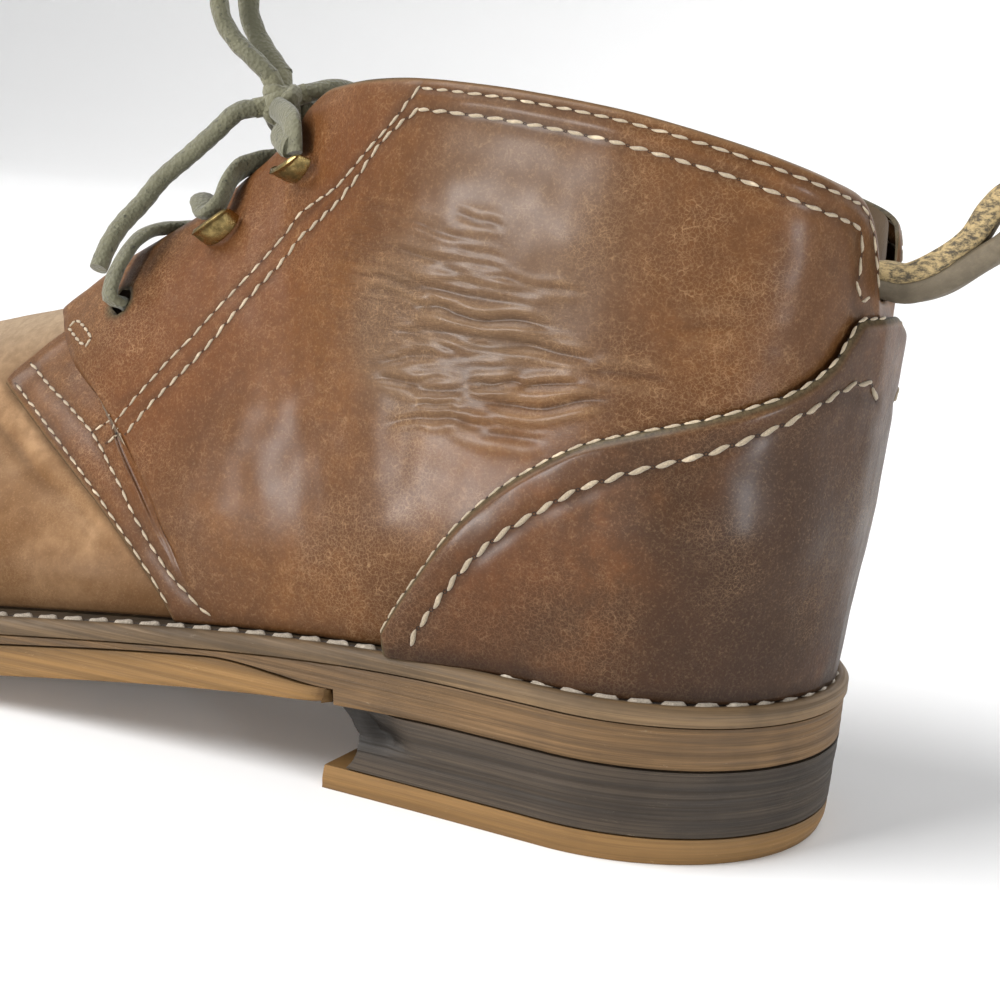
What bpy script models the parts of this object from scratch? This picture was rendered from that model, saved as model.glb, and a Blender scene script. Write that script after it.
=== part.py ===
"""Left chukka boot, empty and standing on its sole.

Metres, +Z up. The origin is on the floor under the centre of the round of the heel.
The heel points along +X, the toe along -X. The outer side of the foot is at -Y, the
inner side at +Y. Lengths called "along" are measured forward from the back of the heel.
"""

import math

import bmesh
import bpy
import numpy as np
from mathutils import Vector

# Sole
SOLE_LENGTH = 0.300
BALL_WIDTH = 0.098
WAIST_WIDTH = 0.067
HEEL_WIDTH = 0.0682
HEEL_LENGTH = 0.0705
TOE_ROUND = 0.062
TOE_SWING = 0.009
HEEL_HEIGHT = 0.0150
TOP_LIFT_THICKNESS = 0.0042
LIFT_LIP = 0.0018
BREAST_HOLLOW = 0.0045
SOLE_THICKNESS_HEEL = 0.0096
SOLE_THICKNESS_BALL = 0.0117
WELT_THICKNESS = 0.0029
WELT_WIDTH = 0.0125
OUTSOLE_THICKNESS = 0.0054
OUTSOLE_REAR_THICKNESS = 0.0022
BALL_FLAT_START = 0.203
BALL_FLAT_END = 0.224
TOE_SPRING = 0.010
EDGE_TRIM = 0.0004
INSOLE_THICKNESS = 0.0026

# Upper
COLLAR_HEIGHT = 0.0857
COLLAR_WIDTH = 0.062
INNER_COLLAR_DROP = 0.0045
INSTEP_HEIGHT = 0.0524
THROAT_GAP = 0.020
LEATHER = 0.0024
VAMP_STEP = 0.0015
COUNTER_LEATHER = 0.0018
TONGUE_THICKNESS = 0.0020

# Fittings
HOLE_DIAMETER = 0.0052
HOOK_WIDTH = 0.0090
HOOK_PLATE = 0.0008
LACE_DIAMETER = 0.0034
STRAP_WIDTH = 0.0070
STRAP_THICKNESS = 0.0019
STRAP_LENGTH = 0.0255

# Clearances
GAP = 0.0003

HEEL_RADIUS = HEEL_WIDTH / 2

# Plan of the sole: one row for each section
SOLE_PLAN = (
    # along / SOLE_LENGTH, width named here, outer share, inner share
    (0.000, HEEL_WIDTH, 0.500, 0.500),
    (0.114, HEEL_WIDTH, 0.500, 0.500),
    (0.233, HEEL_WIDTH, 0.507, 0.484),
    (0.393, WAIST_WIDTH, 0.559, 0.441),
    (0.500, BALL_WIDTH, 0.421, 0.318),
    (0.600, BALL_WIDTH, 0.472, 0.385),
    (0.677, BALL_WIDTH, 0.502, 0.447),
    (0.740, BALL_WIDTH, 0.496, 0.490),
    (0.817, BALL_WIDTH, 0.462, 0.500),
    (0.900, BALL_WIDTH, 0.410, 0.482),
    (1.000, BALL_WIDTH, 0.345, 0.425),
)

# How far the upper's foot stands in from the edge of the welt
FOOT_INSET = (
    # share of the way from heel to toe, inset / WELT_WIDTH
    (0.00, 0.32),
    (0.08, 0.34),
    (0.16, 0.36),
    (0.34, 0.30),
    (0.50, 0.36),
    (0.70, 0.42),
    (1.00, 0.44),
)

# Collar: from the notch at the back to the round of its front corner
COLLAR = (
    # foot share, along / SOLE_LENGTH, half / COLLAR_WIDTH, height / COLLAR_HEIGHT,
    # lift and drop / COLLAR_HEIGHT, belly and reach / BALL_WIDTH
    (0.000, 0.0033, 0.000, 0.697, 0.210, 0.012, 0.210, 0.014),
    (0.012, 0.0033, 0.062, 0.706, 0.210, 0.012, 0.215, 0.014),
    (0.018, 0.0037, 0.095, 0.745, 0.212, 0.012, 0.225, 0.015),
    (0.024, 0.0047, 0.118, 0.792, 0.215, 0.012, 0.240, 0.016),
    (0.032, 0.0067, 0.153, 0.838, 0.220, 0.012, 0.270, 0.018),
    (0.042, 0.0093, 0.200, 0.868, 0.225, 0.013, 0.285, 0.018),
    (0.056, 0.0127, 0.262, 0.881, 0.230, 0.014, 0.290, 0.018),
    (0.075, 0.0180, 0.331, 0.892, 0.240, 0.018, 0.300, 0.015),
    (0.110, 0.0433, 0.427, 0.922, 0.250, 0.026, 0.340, 0.010),
    (0.150, 0.1167, 0.500, 0.975, 0.260, 0.031, 0.400, 0.008),
    (0.190, 0.1900, 0.492, 1.000, 0.260, 0.035, 0.360, 0.012),
    (0.225, 0.2517, 0.427, 1.013, 0.260, 0.038, 0.290, 0.040),
    (0.243, 0.2900, 0.323, 1.010, 0.270, 0.040, 0.240, 0.080),
    (0.256, 0.3150, 0.242, 0.984, 0.280, 0.041, 0.200, 0.110),
)

# Facing: the laced edge, from the collar down to the end of the throat
FACING = (
    # foot share, along / SOLE_LENGTH, half / THROAT_GAP, height / COLLAR_HEIGHT,
    # lift and drop / COLLAR_HEIGHT, belly and reach / BALL_WIDTH
    (0.268, 0.3300, 0.625, 0.937, 0.290, 0.041, 0.170, 0.130),
    (0.285, 0.3600, 0.585, 0.858, 0.290, 0.041, 0.140, 0.150),
    (0.300, 0.3933, 0.550, 0.789, 0.270, 0.041, 0.120, 0.160),
    (0.315, 0.4350, 0.525, 0.722, 0.240, 0.036, 0.095, 0.165),
    (0.330, 0.4900, 0.500, 0.612, 0.200, 0.031, 0.070, 0.165),
)

# Ridge of the instep and vamp, from the end of the throat to the toe
RIDGE = (
    # foot share, along / SOLE_LENGTH, height / INSTEP_HEIGHT,
    # lift and drop / INSTEP_HEIGHT, belly and reach / BALL_WIDTH
    (0.335, 0.500, 1.020, 0.330, 0.031, 0.055, 0.170),
    (0.342, 0.545, 0.975, 0.310, 0.031, 0.045, 0.175),
    (0.350, 0.600, 0.915, 0.320, 0.036, 0.035, 0.185),
    (0.370, 0.617, 0.893, 0.325, 0.041, 0.030, 0.190),
    (0.420, 0.645, 0.860, 0.345, 0.051, 0.020, 0.205),
    (0.500, 0.683, 0.818, 0.380, 0.051, 0.020, 0.215),
    (0.600, 0.731, 0.767, 0.380, 0.051, 0.020, 0.235),
    (0.700, 0.783, 0.715, 0.380, 0.041, 0.010, 0.245),
    (0.800, 0.831, 0.667, 0.365, 0.041, 0.006, 0.225),
    (0.900, 0.872, 0.620, 0.345, 0.031, 0.004, 0.195),
    (1.000, 0.893, 0.586, 0.325, 0.031, 0.004, 0.165),
)

# Upper edge of the heel counter
COUNTER_EDGE = (
    # foot share, height / COLLAR_HEIGHT
    (0.000, 0.672),
    (0.036, 0.670),
    (0.045, 0.640),
    (0.053, 0.600),
    (0.072, 0.555),
    (0.095, 0.517),
    (0.118, 0.480),
    (0.145, 0.425),
    (0.170, 0.340),
    (0.188, 0.260),
    (0.207, 0.155),
    (0.222, 0.070),
    (0.230, 0.018),
)

THROAT_END = 0.330
QUARTER_FRONT = 0.349
FOOT_STATIONS = (
    0.0, 0.006, 0.012, 0.018, 0.024, 0.032, 0.042, 0.056, 0.075, 0.095, 0.114, 0.132,
    0.150, 0.170, 0.190, 0.208, 0.225, 0.235, 0.243, 0.250, 0.256, 0.262, 0.268, 0.276, 0.285,
    0.2925, 0.300, 0.3075, 0.315, 0.3225, 0.330,
    0.335, 0.342, 0.349, 0.350, 0.370, 0.395, 0.425, 0.460, 0.500, 0.545, 0.590,
    0.635, 0.680, 0.725, 0.770, 0.810, 0.850, 0.885, 0.915, 0.945, 0.972, 1.0,
)
UPPER_ROWS = 11


def clear_scene():
    for obj in list(bpy.data.objects):
        bpy.data.objects.remove(obj, do_unlink=True)


def ease(value):
    value = min(max(value, 0.0), 1.0)
    return value * value * (3 - 2 * value)


def spread(xs, ys, x):
    """Monotone cubic curve through hand-chosen values."""
    xs = np.asarray(xs, float)
    ys = np.asarray(ys, float)
    if x <= xs[0]:
        return float(ys[0])
    if x >= xs[-1]:
        return float(ys[-1])
    h = np.diff(xs)
    d = np.diff(ys) / h
    m = np.zeros(len(xs))
    m[0] = d[0]
    m[-1] = d[-1]
    for i in range(1, len(xs) - 1):
        if d[i - 1] * d[i] > 0:
            w1 = 2 * h[i] + h[i - 1]
            w2 = h[i] + 2 * h[i - 1]
            m[i] = (w1 + w2) / (w1 / d[i - 1] + w2 / d[i])
    i = int(np.searchsorted(xs, x, side="right")) - 1
    s = (x - xs[i]) / h[i]
    return float(
        ys[i] * (1 + 2 * s) * (1 - s) ** 2
        + m[i] * h[i] * s * (1 - s) ** 2
        + ys[i + 1] * s * s * (3 - 2 * s)
        + m[i + 1] * h[i] * s * s * (s - 1)
    )


def column(table, index):
    return [row[index] for row in table]


# Heights of the sole along the foot

def sole_bottom(along):
    fall_start = HEEL_LENGTH - 0.3 * HEEL_LENGTH
    fall = ease((along - fall_start) / (BALL_FLAT_START - fall_start))
    base = HEEL_HEIGHT * (1 - fall)
    if along > BALL_FLAT_END:
        base += TOE_SPRING * ((along - BALL_FLAT_END) / (SOLE_LENGTH - BALL_FLAT_END)) ** 1.8
    return base


def sole_thickness(along):
    share = ease((along - HEEL_LENGTH) / (BALL_FLAT_END - HEEL_LENGTH))
    return SOLE_THICKNESS_HEEL + (SOLE_THICKNESS_BALL - SOLE_THICKNESS_HEEL) * share


def outsole_thickness(along):
    share = ease((along - HEEL_LENGTH) / (0.35 * HEEL_LENGTH))
    return OUTSOLE_REAR_THICKNESS + (OUTSOLE_THICKNESS - OUTSOLE_REAR_THICKNESS) * share


def welt_top(along):
    return sole_bottom(along) + sole_thickness(along)


# Plan of the sole, as closed rows of points around the foot

def plan_width(along, side):
    share = along / SOLE_LENGTH
    widths = [row[1] * row[2 if side < 0 else 3] for row in SOLE_PLAN]
    width = spread(column(SOLE_PLAN, 0), widths, share)
    toe_start = SOLE_LENGTH - TOE_ROUND
    swing = TOE_SWING * ease((along - 0.5 * SOLE_LENGTH) / (0.5 * SOLE_LENGTH))
    if along < HEEL_RADIUS:
        back = (HEEL_RADIUS - along) / HEEL_RADIUS
        return side * width * math.sqrt(max(0.0, 1 - back * back))
    if along > toe_start:
        front = (along - toe_start) / TOE_ROUND
        closing = max(0.0, 1 - front ** 2.3) ** (1 / 2.3)
        return swing + (side * width - swing) * closing
    return side * width


def plan_stations(last=SOLE_LENGTH):
    """Distances along the foot, close together on the rounds of the heel and toe."""
    heel = [HEEL_RADIUS * (1 - math.cos(math.radians(a))) for a in range(0, 90, 10)]
    toe_start = SOLE_LENGTH - TOE_ROUND
    end = min(last, toe_start)
    count = max(2, round((end - HEEL_RADIUS) / 0.0115))
    middle = [HEEL_RADIUS + (end - HEEL_RADIUS) * i / count for i in range(count)]
    if last <= toe_start:
        return heel + middle + [last]
    toe = [toe_start + TOE_ROUND * math.sin(math.radians(a)) for a in range(0, 91, 9)]
    return heel + middle + toe


def side_line(side, inset=0.0, stations=None):
    """Edge of the sole on one side, from the back of the heel to the tip of the toe."""
    stations = stations or plan_stations()
    points = [Vector((HEEL_RADIUS - u, plan_width(u, side), 0.0)) for u in stations]
    line = []
    for i, point in enumerate(points):
        if i == 0:
            normal = Vector((1, 0, 0))
        elif i == len(points) - 1 and stations[-1] >= SOLE_LENGTH:
            normal = Vector((-1, 0, 0))
        else:
            after = points[min(i + 1, len(points) - 1)]
            tangent = (after - points[i - 1]).normalized()
            normal = Vector((tangent.y, -tangent.x, 0)) * side
        shift = inset(i / (len(points) - 1)) if callable(inset) else inset
        line.append((point - normal * shift, normal))
    return line


def closed_plan(inset, stations=None):
    outer = [p for p, n in side_line(-1, inset, stations)]
    inner = [p for p, n in side_line(1, inset, stations)]
    if stations is None or stations[-1] >= SOLE_LENGTH:
        return outer + inner[-2:0:-1]
    return outer + inner[:0:-1]


def along_of(point):
    return HEEL_RADIUS - point.x


# Meshes

def new_object(name, mesh, collection, material):
    obj = bpy.data.objects.new(name, mesh)
    collection.objects.link(obj)
    if material is not None:
        obj.data.materials.append(material)
    return obj


def finish_mesh(name, bm, smooth_angle=40):
    bmesh.ops.recalc_face_normals(bm, faces=bm.faces[:])
    if bm.calc_volume(signed=True) < 0:
        bmesh.ops.reverse_faces(bm, faces=bm.faces[:])
    mesh = bpy.data.meshes.new(name)
    bm.to_mesh(mesh)
    bm.free()
    mesh.shade_smooth()
    mesh.set_sharp_from_angle(angle=math.radians(smooth_angle))
    return mesh


def strip_cap(bm, ring, tip):
    """Closes a ring around the foot with one strip across for each pair of stations."""
    count = len(ring)
    left, right = 1, count - 1
    bm.faces.new((ring[0], ring[left], ring[right]))
    while right - left > 2:
        bm.faces.new((ring[left], ring[left + 1], ring[right - 1], ring[right]))
        left += 1
        right -= 1
    if tip:
        bm.faces.new((ring[left], ring[left + 1], ring[right]))


def sole_layer(name, rings, collection, material, tip=True):
    """A layer of the sole from rings of points, lowest first."""
    bm = bmesh.new()
    rows = [[bm.verts.new(p) for p in ring] for ring in rings]
    count = len(rows[0])
    for low, high in zip(rows, rows[1:]):
        for i in range(count):
            j = (i + 1) % count
            bm.faces.new((low[i], low[j], high[j], high[i]))
    strip_cap(bm, rows[0], tip)
    strip_cap(bm, rows[-1], tip)
    return new_object(name, finish_mesh(name, bm, 30), collection, material)


def ring_at(inset, height, stations=None):
    ring = []
    for point in closed_plan(inset, stations):
        ring.append(Vector((point.x, point.y, height(along_of(point)))))
    return ring


def shell(name, points, faces, low, high, collection, material, floor=None):
    """A wall of leather: an open surface given two faces, low and high along its normals."""
    guide = bmesh.new()
    verts = [guide.verts.new(p) for p in points]
    guide.verts.index_update()
    for face in faces:
        guide.faces.new([verts[i] for i in face])
    guide.normal_update()
    normals = [v.normal.copy() for v in verts]
    rims = []
    for edge in guide.edges:
        if len(edge.link_faces) == 1:
            loop = edge.link_loops[0]
            rims.append((loop.vert.index, loop.link_loop_next.vert.index))
    guide.free()
    bm = bmesh.new()
    outside, inside = [], []
    for i, point in enumerate(points):
        for rows, shift in ((outside, high), (inside, low)):
            amount = shift(i) if callable(shift) else shift
            place = point + normals[i] * amount
            if floor is not None:
                place.z = max(place.z, floor(place))
            rows.append(bm.verts.new(place))
    for face in faces:
        bm.faces.new([outside[i] for i in face])
        bm.faces.new([inside[i] for i in reversed(face)])
    for a, b in rims:
        bm.faces.new((outside[b], outside[a], inside[a], inside[b]))
    return new_object(name, finish_mesh(name, bm), collection, material)


# The surface of the upper

class Foot:
    """Where the upper meets the welt on one side, by the share of the way to the toe."""

    def __init__(self, side):
        shares = column(FOOT_INSET, 0)
        insets = [row[1] * WELT_WIDTH for row in FOOT_INSET]
        self.line = side_line(side, lambda s: spread(shares, insets, s))
        self.run = [0.0]
        for (a, _), (b, _) in zip(self.line, self.line[1:]):
            self.run.append(self.run[-1] + (b - a).length)

    def at(self, share):
        distance = share * self.run[-1]
        i = int(np.searchsorted(self.run, distance, side="right")) - 1
        i = min(max(i, 0), len(self.line) - 2)
        part = (distance - self.run[i]) / (self.run[i + 1] - self.run[i])
        point = self.line[i][0].lerp(self.line[i + 1][0], part)
        normal = self.line[i][1].lerp(self.line[i + 1][1], part).normalized()
        point.z = welt_top(along_of(point)) + GAP
        return point, normal


FEET = {-1: Foot(-1), 1: Foot(1)}


def crest_rows():
    rows = []
    for q, along, half, height, lift, belly, drop, reach in COLLAR:
        rows.append((q, along * SOLE_LENGTH, half * COLLAR_WIDTH, height * COLLAR_HEIGHT,
                     lift * COLLAR_HEIGHT, belly * BALL_WIDTH,
                     drop * COLLAR_HEIGHT, reach * BALL_WIDTH))
    for q, along, half, height, lift, belly, drop, reach in FACING:
        rows.append((q, along * SOLE_LENGTH, half * THROAT_GAP, height * COLLAR_HEIGHT,
                     lift * COLLAR_HEIGHT, belly * BALL_WIDTH,
                     drop * COLLAR_HEIGHT, reach * BALL_WIDTH))
    return rows


def ridge_rows():
    rows = []
    for q, along, height, lift, belly, drop, reach in RIDGE:
        rows.append((q, along * SOLE_LENGTH, 0.0, height * INSTEP_HEIGHT,
                     lift * INSTEP_HEIGHT, belly * BALL_WIDTH,
                     drop * INSTEP_HEIGHT, reach * BALL_WIDTH))
    return rows


CREST = crest_rows()
RIDGE_LINE = ridge_rows()


def ridge_swing(along):
    return TOE_SWING * ease((along - 0.45 * SOLE_LENGTH) / (0.45 * SOLE_LENGTH))


def upper_point(side, q, t):
    """Outer face of the leather: q runs heel to toe along the foot, t from welt to crest."""
    foot, normal = FEET[side].at(q)
    table = CREST if q <= THROAT_END + 1e-9 else RIDGE_LINE
    along, half, height, lift, belly, drop, reach = (
        spread(column(table, 0), column(table, k), q) for k in range(1, 8))
    if side > 0 and q < THROAT_END:
        height -= INNER_COLLAR_DROP * ease(q / 0.05) * (1 - ease((q - 0.15) / 0.10))
    crest = Vector((HEEL_RADIUS - along, side * half + ridge_swing(along),
                    welt_top(along) + height))
    lean = Vector((crest.x - foot.x, 0, 0)) * 0.12
    up = Vector((0, 0, 1))
    first = foot + up * lift + normal * belly + lean
    second = crest - up * drop + normal * reach - lean
    s = 1 - t
    return foot * s ** 3 + first * (3 * s * s * t) + second * (3 * s * t * t) + crest * t ** 3


def upper_normal(side, q, t):
    step = 0.002
    ahead = upper_point(side, min(q + step, THROAT_END if q <= THROAT_END else 1.0), t)
    behind = upper_point(side, max(q - step, 0.0), t)
    above = upper_point(side, q, min(t + step, 1.0))
    below = upper_point(side, q, max(t - step, 0.0))
    return (ahead - behind).cross(above - below).normalized() * side


def under_upper(side, q, t, depth):
    return upper_point(side, q, t) - upper_normal(side, q, t) * depth


def is_ridge(q):
    return q > THROAT_END + 1e-9


def wrap_grid(stations, top_of, rows, close_toe):
    """Points and faces of a sheet that runs round the heel on the upper's own surface.

    It runs from the toe end of the outer side, back round the heel, to the inner side.
    """
    points, faces, table = [], [], {}

    def vertex(side, i, j):
        q = stations[i]
        shared = i == 0 or (close_toe and q >= 1.0)
        if close_toe and is_ridge(q) and j == rows:
            shared = True
        key = (0 if shared else side, i, j)
        if key not in table:
            table[key] = len(points)
            points.append(upper_point(side, q, top_of(q) * j / rows))
            if shared:
                points[-1] = (points[-1] + upper_point(-side, q, top_of(q) * j / rows)) / 2
        return table[key]

    for side in (-1, 1):
        for i in range(len(stations) - 1):
            for j in range(rows):
                face = [vertex(side, i, j), vertex(side, i + 1, j),
                        vertex(side, i + 1, j + 1), vertex(side, i, j + 1)]
                if len(set(face)) < 4:
                    face = [v for n, v in enumerate(face) if v not in face[:n]]
                faces.append(face[::-1] if side < 0 else face)
    return points, faces, table


def foot_floor(point):
    return welt_top(along_of(point)) + GAP


def make_upper(collection, material):
    points, faces, table = wrap_grid(FOOT_STATIONS, lambda q: 1.0, UPPER_ROWS, True)
    place = {index: key for key, index in table.items()}
    strip_row = round(UPPER_ROWS * 0.8)

    def recessed(index):
        side, i, j = place[index]
        q = FOOT_STATIONS[i]
        if q > QUARTER_FRONT + 1e-9:
            return True
        return is_ridge(q) and j > strip_row

    def high(index):
        return -VAMP_STEP if recessed(index) else 0.0

    def low(index):
        return -LEATHER - (VAMP_STEP if recessed(index) else 0.0)

    return shell("upper", points, faces, low, high, collection, material, foot_floor)


def counter_top(q):
    """Share of the way up the upper's surface where the counter ends."""
    height = spread(column(COUNTER_EDGE, 0), column(COUNTER_EDGE, 1), q) * COLLAR_HEIGHT
    low, high = 0.0, 1.0
    for _ in range(24):
        middle = (low + high) / 2
        point = upper_point(-1, q, middle)
        if point.z - welt_top(HEEL_RADIUS) < height:
            low = middle
        else:
            high = middle
    return low


def make_counter(collection, material):
    last = COUNTER_EDGE[-1][0]
    stations = [q for q in FOOT_STATIONS if q < last - 0.004]
    stations += [last - 0.003]
    points, faces, _ = wrap_grid(stations, counter_top, 6, False)
    return shell("heel_counter", points, faces, GAP, GAP + COUNTER_LEATHER,
                 collection, material, foot_floor)


def make_tongue(collection, material):
    """A sheet under the facings, bridging the throat below the laces."""
    stations = [0.250, 0.256, 0.262, 0.268, 0.276, 0.285, 0.2925, 0.300, 0.3075, 0.315,
                0.3225]
    under = (0.70, 0.80, 0.90, 0.96)
    across = 5
    grid = []
    for q in stations:
        dip = ease((q - 0.295) / (stations[-1] - 0.295))
        depth = LEATHER + 3 * GAP + 2 * VAMP_STEP * dip
        outer = [under_upper(-1, q, t, depth) for t in under]
        inner = [under_upper(1, q, t, depth) for t in under]
        bridge = []
        for k in range(1, across):
            share = k / across
            rise = math.sin(math.pi * share) * 0.08 * THROAT_GAP * (1 - dip)
            point = outer[-1].lerp(inner[-1], share)
            point.z += rise
            bridge.append(point)
        grid.append(outer + bridge + inner[::-1])
    points = [p for row in grid for p in row]
    width = len(grid[0])
    faces = []
    for i in range(len(grid) - 1):
        for j in range(width - 1):
            a = i * width + j
            faces.append((a, a + 1, a + width + 1, a + width))
    return shell("tongue", points, faces, -TONGUE_THICKNESS, 0.0, collection, material)


# Sole pieces

def make_sole(collection, materials):
    start = HEEL_LENGTH + GAP
    stations = [u for u in plan_stations() if abs(u - start) > 0.004]
    step = [start - GAP, start - GAP / 2, start + 0.008]

    def midsole_low(u):
        if u < start - 0.75 * GAP:
            return sole_bottom(u)
        return sole_bottom(u) + outsole_thickness(u) + GAP

    def midsole_high(u):
        return welt_top(u) - WELT_THICKNESS - GAP

    rows = sorted(stations + step)
    rings = [ring_at(EDGE_TRIM, midsole_low, rows), ring_at(EDGE_TRIM, midsole_high, rows)]
    sole_layer("midsole", rings, collection, materials["midsole"])

    outsole_stations = [start] + [u for u in rows if u > start]
    make_outsole(outsole_stations, collection, materials["outsole"])
    make_welt(collection, materials["welt"])
    make_heel(collection, materials)
    make_insole(collection, materials["insole"])


def make_outsole(stations, collection, material):
    """The gum layer, forward of the heel, its underside flat under the ball."""
    bm = bmesh.new()
    rows = []
    lines = {}
    for inset in (1.2 * EDGE_TRIM, 0.5 * EDGE_TRIM):
        for side in (-1, 1):
            line = side_line(side, inset, stations)
            lines[(inset, side)] = line
    for index, u in enumerate(stations):
        low = sole_bottom(u)
        high = low + outsole_thickness(u)
        tip = u >= SOLE_LENGTH - 1e-6
        section = []
        for inset, z in ((1.2 * EDGE_TRIM, low), (0.5 * EDGE_TRIM, high)):
            for side in (-1, 1):
                point = lines[(inset, side)][index][0]
                section.append(bm.verts.new((point.x, point.y, z)))
        if tip:
            bmesh.ops.pointmerge(bm, verts=section[0:2], merge_co=section[0].co)
            bmesh.ops.pointmerge(bm, verts=section[2:4], merge_co=section[2].co)
            live = [v for v in section if v.is_valid]
            section = [live[0], live[0], live[1], live[1]]
        rows.append(section)
    for back, fore in zip(rows, rows[1:]):
        for a, b in ((0, 1), (1, 3), (3, 2), (2, 0)):
            face = [back[a], back[b], fore[b], fore[a]]
            face = [v for n, v in enumerate(face) if v not in face[:n]]
            if len(face) > 2:
                bm.faces.new(face)
    first = rows[0]
    bm.faces.new((first[0], first[1], first[3], first[2]))
    new_object("outsole", finish_mesh("outsole", bm, 30), collection, material)


def make_welt(collection, material):
    """A strip that runs right round on top of the midsole."""
    profile = (
        (0.0, -WELT_THICKNESS),
        (0.0, -0.25 * WELT_THICKNESS),
        (0.25 * WELT_THICKNESS, 0.0),
        (WELT_WIDTH, 0.0),
        (WELT_WIDTH, -WELT_THICKNESS),
    )
    bm = bmesh.new()
    loops = []
    for inset, drop in profile:
        ring = ring_at(inset, lambda u: welt_top(u) + drop)
        loops.append([bm.verts.new(p) for p in ring])
    count = len(loops[0])
    for k in range(len(loops)):
        a, b = loops[k], loops[(k + 1) % len(loops)]
        for i in range(count):
            j = (i + 1) % count
            bm.faces.new((a[i], a[j], b[j], b[i]))
    new_object("welt", finish_mesh("welt", bm, 30), collection, material)


def heel_ring(inset, breast, height):
    reference = plan_stations(HEEL_LENGTH)
    stations = [u * breast / HEEL_LENGTH if u > HEEL_RADIUS else u for u in reference]
    return ring_at(inset, height, stations)


def make_heel(collection, materials):
    base = TOP_LIFT_THICKNESS + GAP
    rings = []
    for share in (0.0, 0.2, 0.4, 0.7, 1.0):
        hollow = BREAST_HOLLOW * math.sin(math.pi * (0.2 + 0.8 * share))
        breast = HEEL_LENGTH - hollow
        inset = EDGE_TRIM * (2 - share)

        def height(u, share=share):
            top = sole_bottom(u) - GAP
            return base + (top - base) * share

        rings.append(heel_ring(inset, breast, height))
    sole_layer("heel_stack", rings, collection, materials["heel_stack"], tip=False)
    lip = HEEL_LENGTH + LIFT_LIP
    rings = [
        heel_ring(4 * EDGE_TRIM, lip - 0.001, lambda u: 0.0),
        heel_ring(2.2 * EDGE_TRIM, lip, lambda u: 0.3 * TOP_LIFT_THICKNESS),
        heel_ring(2 * EDGE_TRIM, lip - 0.0006, lambda u: TOP_LIFT_THICKNESS),
    ]
    sole_layer("top_lift", rings, collection, materials["top_lift"], tip=False)


def make_insole(collection, material):
    """Fills the welt's inside and spreads over it to the foot of the upper."""
    well = WELT_WIDTH + GAP

    def seat(share):
        shares = column(FOOT_INSET, 0)
        insets = [row[1] * WELT_WIDTH for row in FOOT_INSET]
        return spread(shares, insets, share) + LEATHER + VAMP_STEP + 4 * GAP

    rings = [
        ring_at(well, lambda u: welt_top(u) - WELT_THICKNESS),
        ring_at(well, lambda u: welt_top(u) + GAP),
        ring_at(seat, lambda u: welt_top(u) + GAP),
        ring_at(seat, lambda u: welt_top(u) + GAP + INSOLE_THICKNESS),
    ]
    sole_layer("insole", rings, collection, material)


# Fittings

def face_point(side, q, t, lift):
    """A point above the outer face of the leather."""
    return upper_point(side, q, t) + upper_normal(side, q, t) * lift


def smooth_route(points, step):
    """Points at even steps on a smooth curve through the route's own points."""
    points = [Vector(p) for p in points]
    padded = [points[0] * 2 - points[1]] + points + [points[-1] * 2 - points[-2]]
    dense = []
    for k in range(len(points) - 1):
        p0, p1, p2, p3 = padded[k:k + 4]
        for i in range(12):
            t = i / 12
            dense.append(0.5 * (2 * p1 + (p2 - p0) * t
                                + (2 * p0 - 5 * p1 + 4 * p2 - p3) * t * t
                                + (3 * p1 - p0 - 3 * p2 + p3) * t ** 3))
    dense.append(points[-1])
    run = [0.0]
    for a, b in zip(dense, dense[1:]):
        run.append(run[-1] + (b - a).length)
    count = max(2, round(run[-1] / step))
    even = []
    for k in range(count + 1):
        target = run[-1] * k / count
        i = min(max(int(np.searchsorted(run, target)) - 1, 0), len(dense) - 2)
        part = (target - run[i]) / max(run[i + 1] - run[i], 1e-9)
        even.append(dense[i].lerp(dense[i + 1], min(max(part, 0.0), 1.0)))
    return even


def tube(name, points, diameter, collection, material):
    curve = bpy.data.curves.new(name, "CURVE")
    curve.dimensions = "3D"
    curve.bevel_depth = diameter / 2
    curve.bevel_resolution = 2
    curve.use_fill_caps = True
    spline = curve.splines.new("POLY")
    spline.points.add(len(points) - 1)
    for slot, point in zip(spline.points, points):
        slot.co = (*point, 1.0)
    return new_object(name, curve, collection, material)


def meshed(obj, collection):
    """Turns a tube into a closed mesh that can be joined to another."""
    graph = bpy.context.evaluated_depsgraph_get()
    mesh = bpy.data.meshes.new_from_object(obj.evaluated_get(graph))
    bm = bmesh.new()
    bm.from_mesh(mesh)
    bmesh.ops.remove_doubles(bm, verts=bm.verts[:], dist=0.00001)
    bm.to_mesh(mesh)
    bm.free()
    name = obj.name
    place = obj.matrix_world.copy()
    bpy.data.objects.remove(obj, do_unlink=True)
    result = bpy.data.objects.new(name, mesh)
    result.matrix_world = place
    collection.objects.link(result)
    return result


def join_in(body, tool):
    modifier = body.modifiers.new("join", "BOOLEAN")
    modifier.operation = "UNION"
    modifier.solver = "EXACT"
    modifier.object = tool


def hide_tool(obj):
    obj.hide_render = True
    obj.display_type = "WIRE"


# Where each pair of holes or hooks sits on the facing
LACE_ROWS = (
    # name, foot share, share of the way up the surface
    ("low", 0.3180, 0.800),
    ("middle", 0.2920, 0.850),
    ("top", 0.2580, 0.850),
)
STRAND_LIFT = 2 * GAP + LACE_DIAMETER / 2
KNOT_OFFSET = Vector((-0.0100, -0.0072, 0.0007))
KNOT_SIZE = (0.0072, 0.0076, 0.0072)


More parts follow.
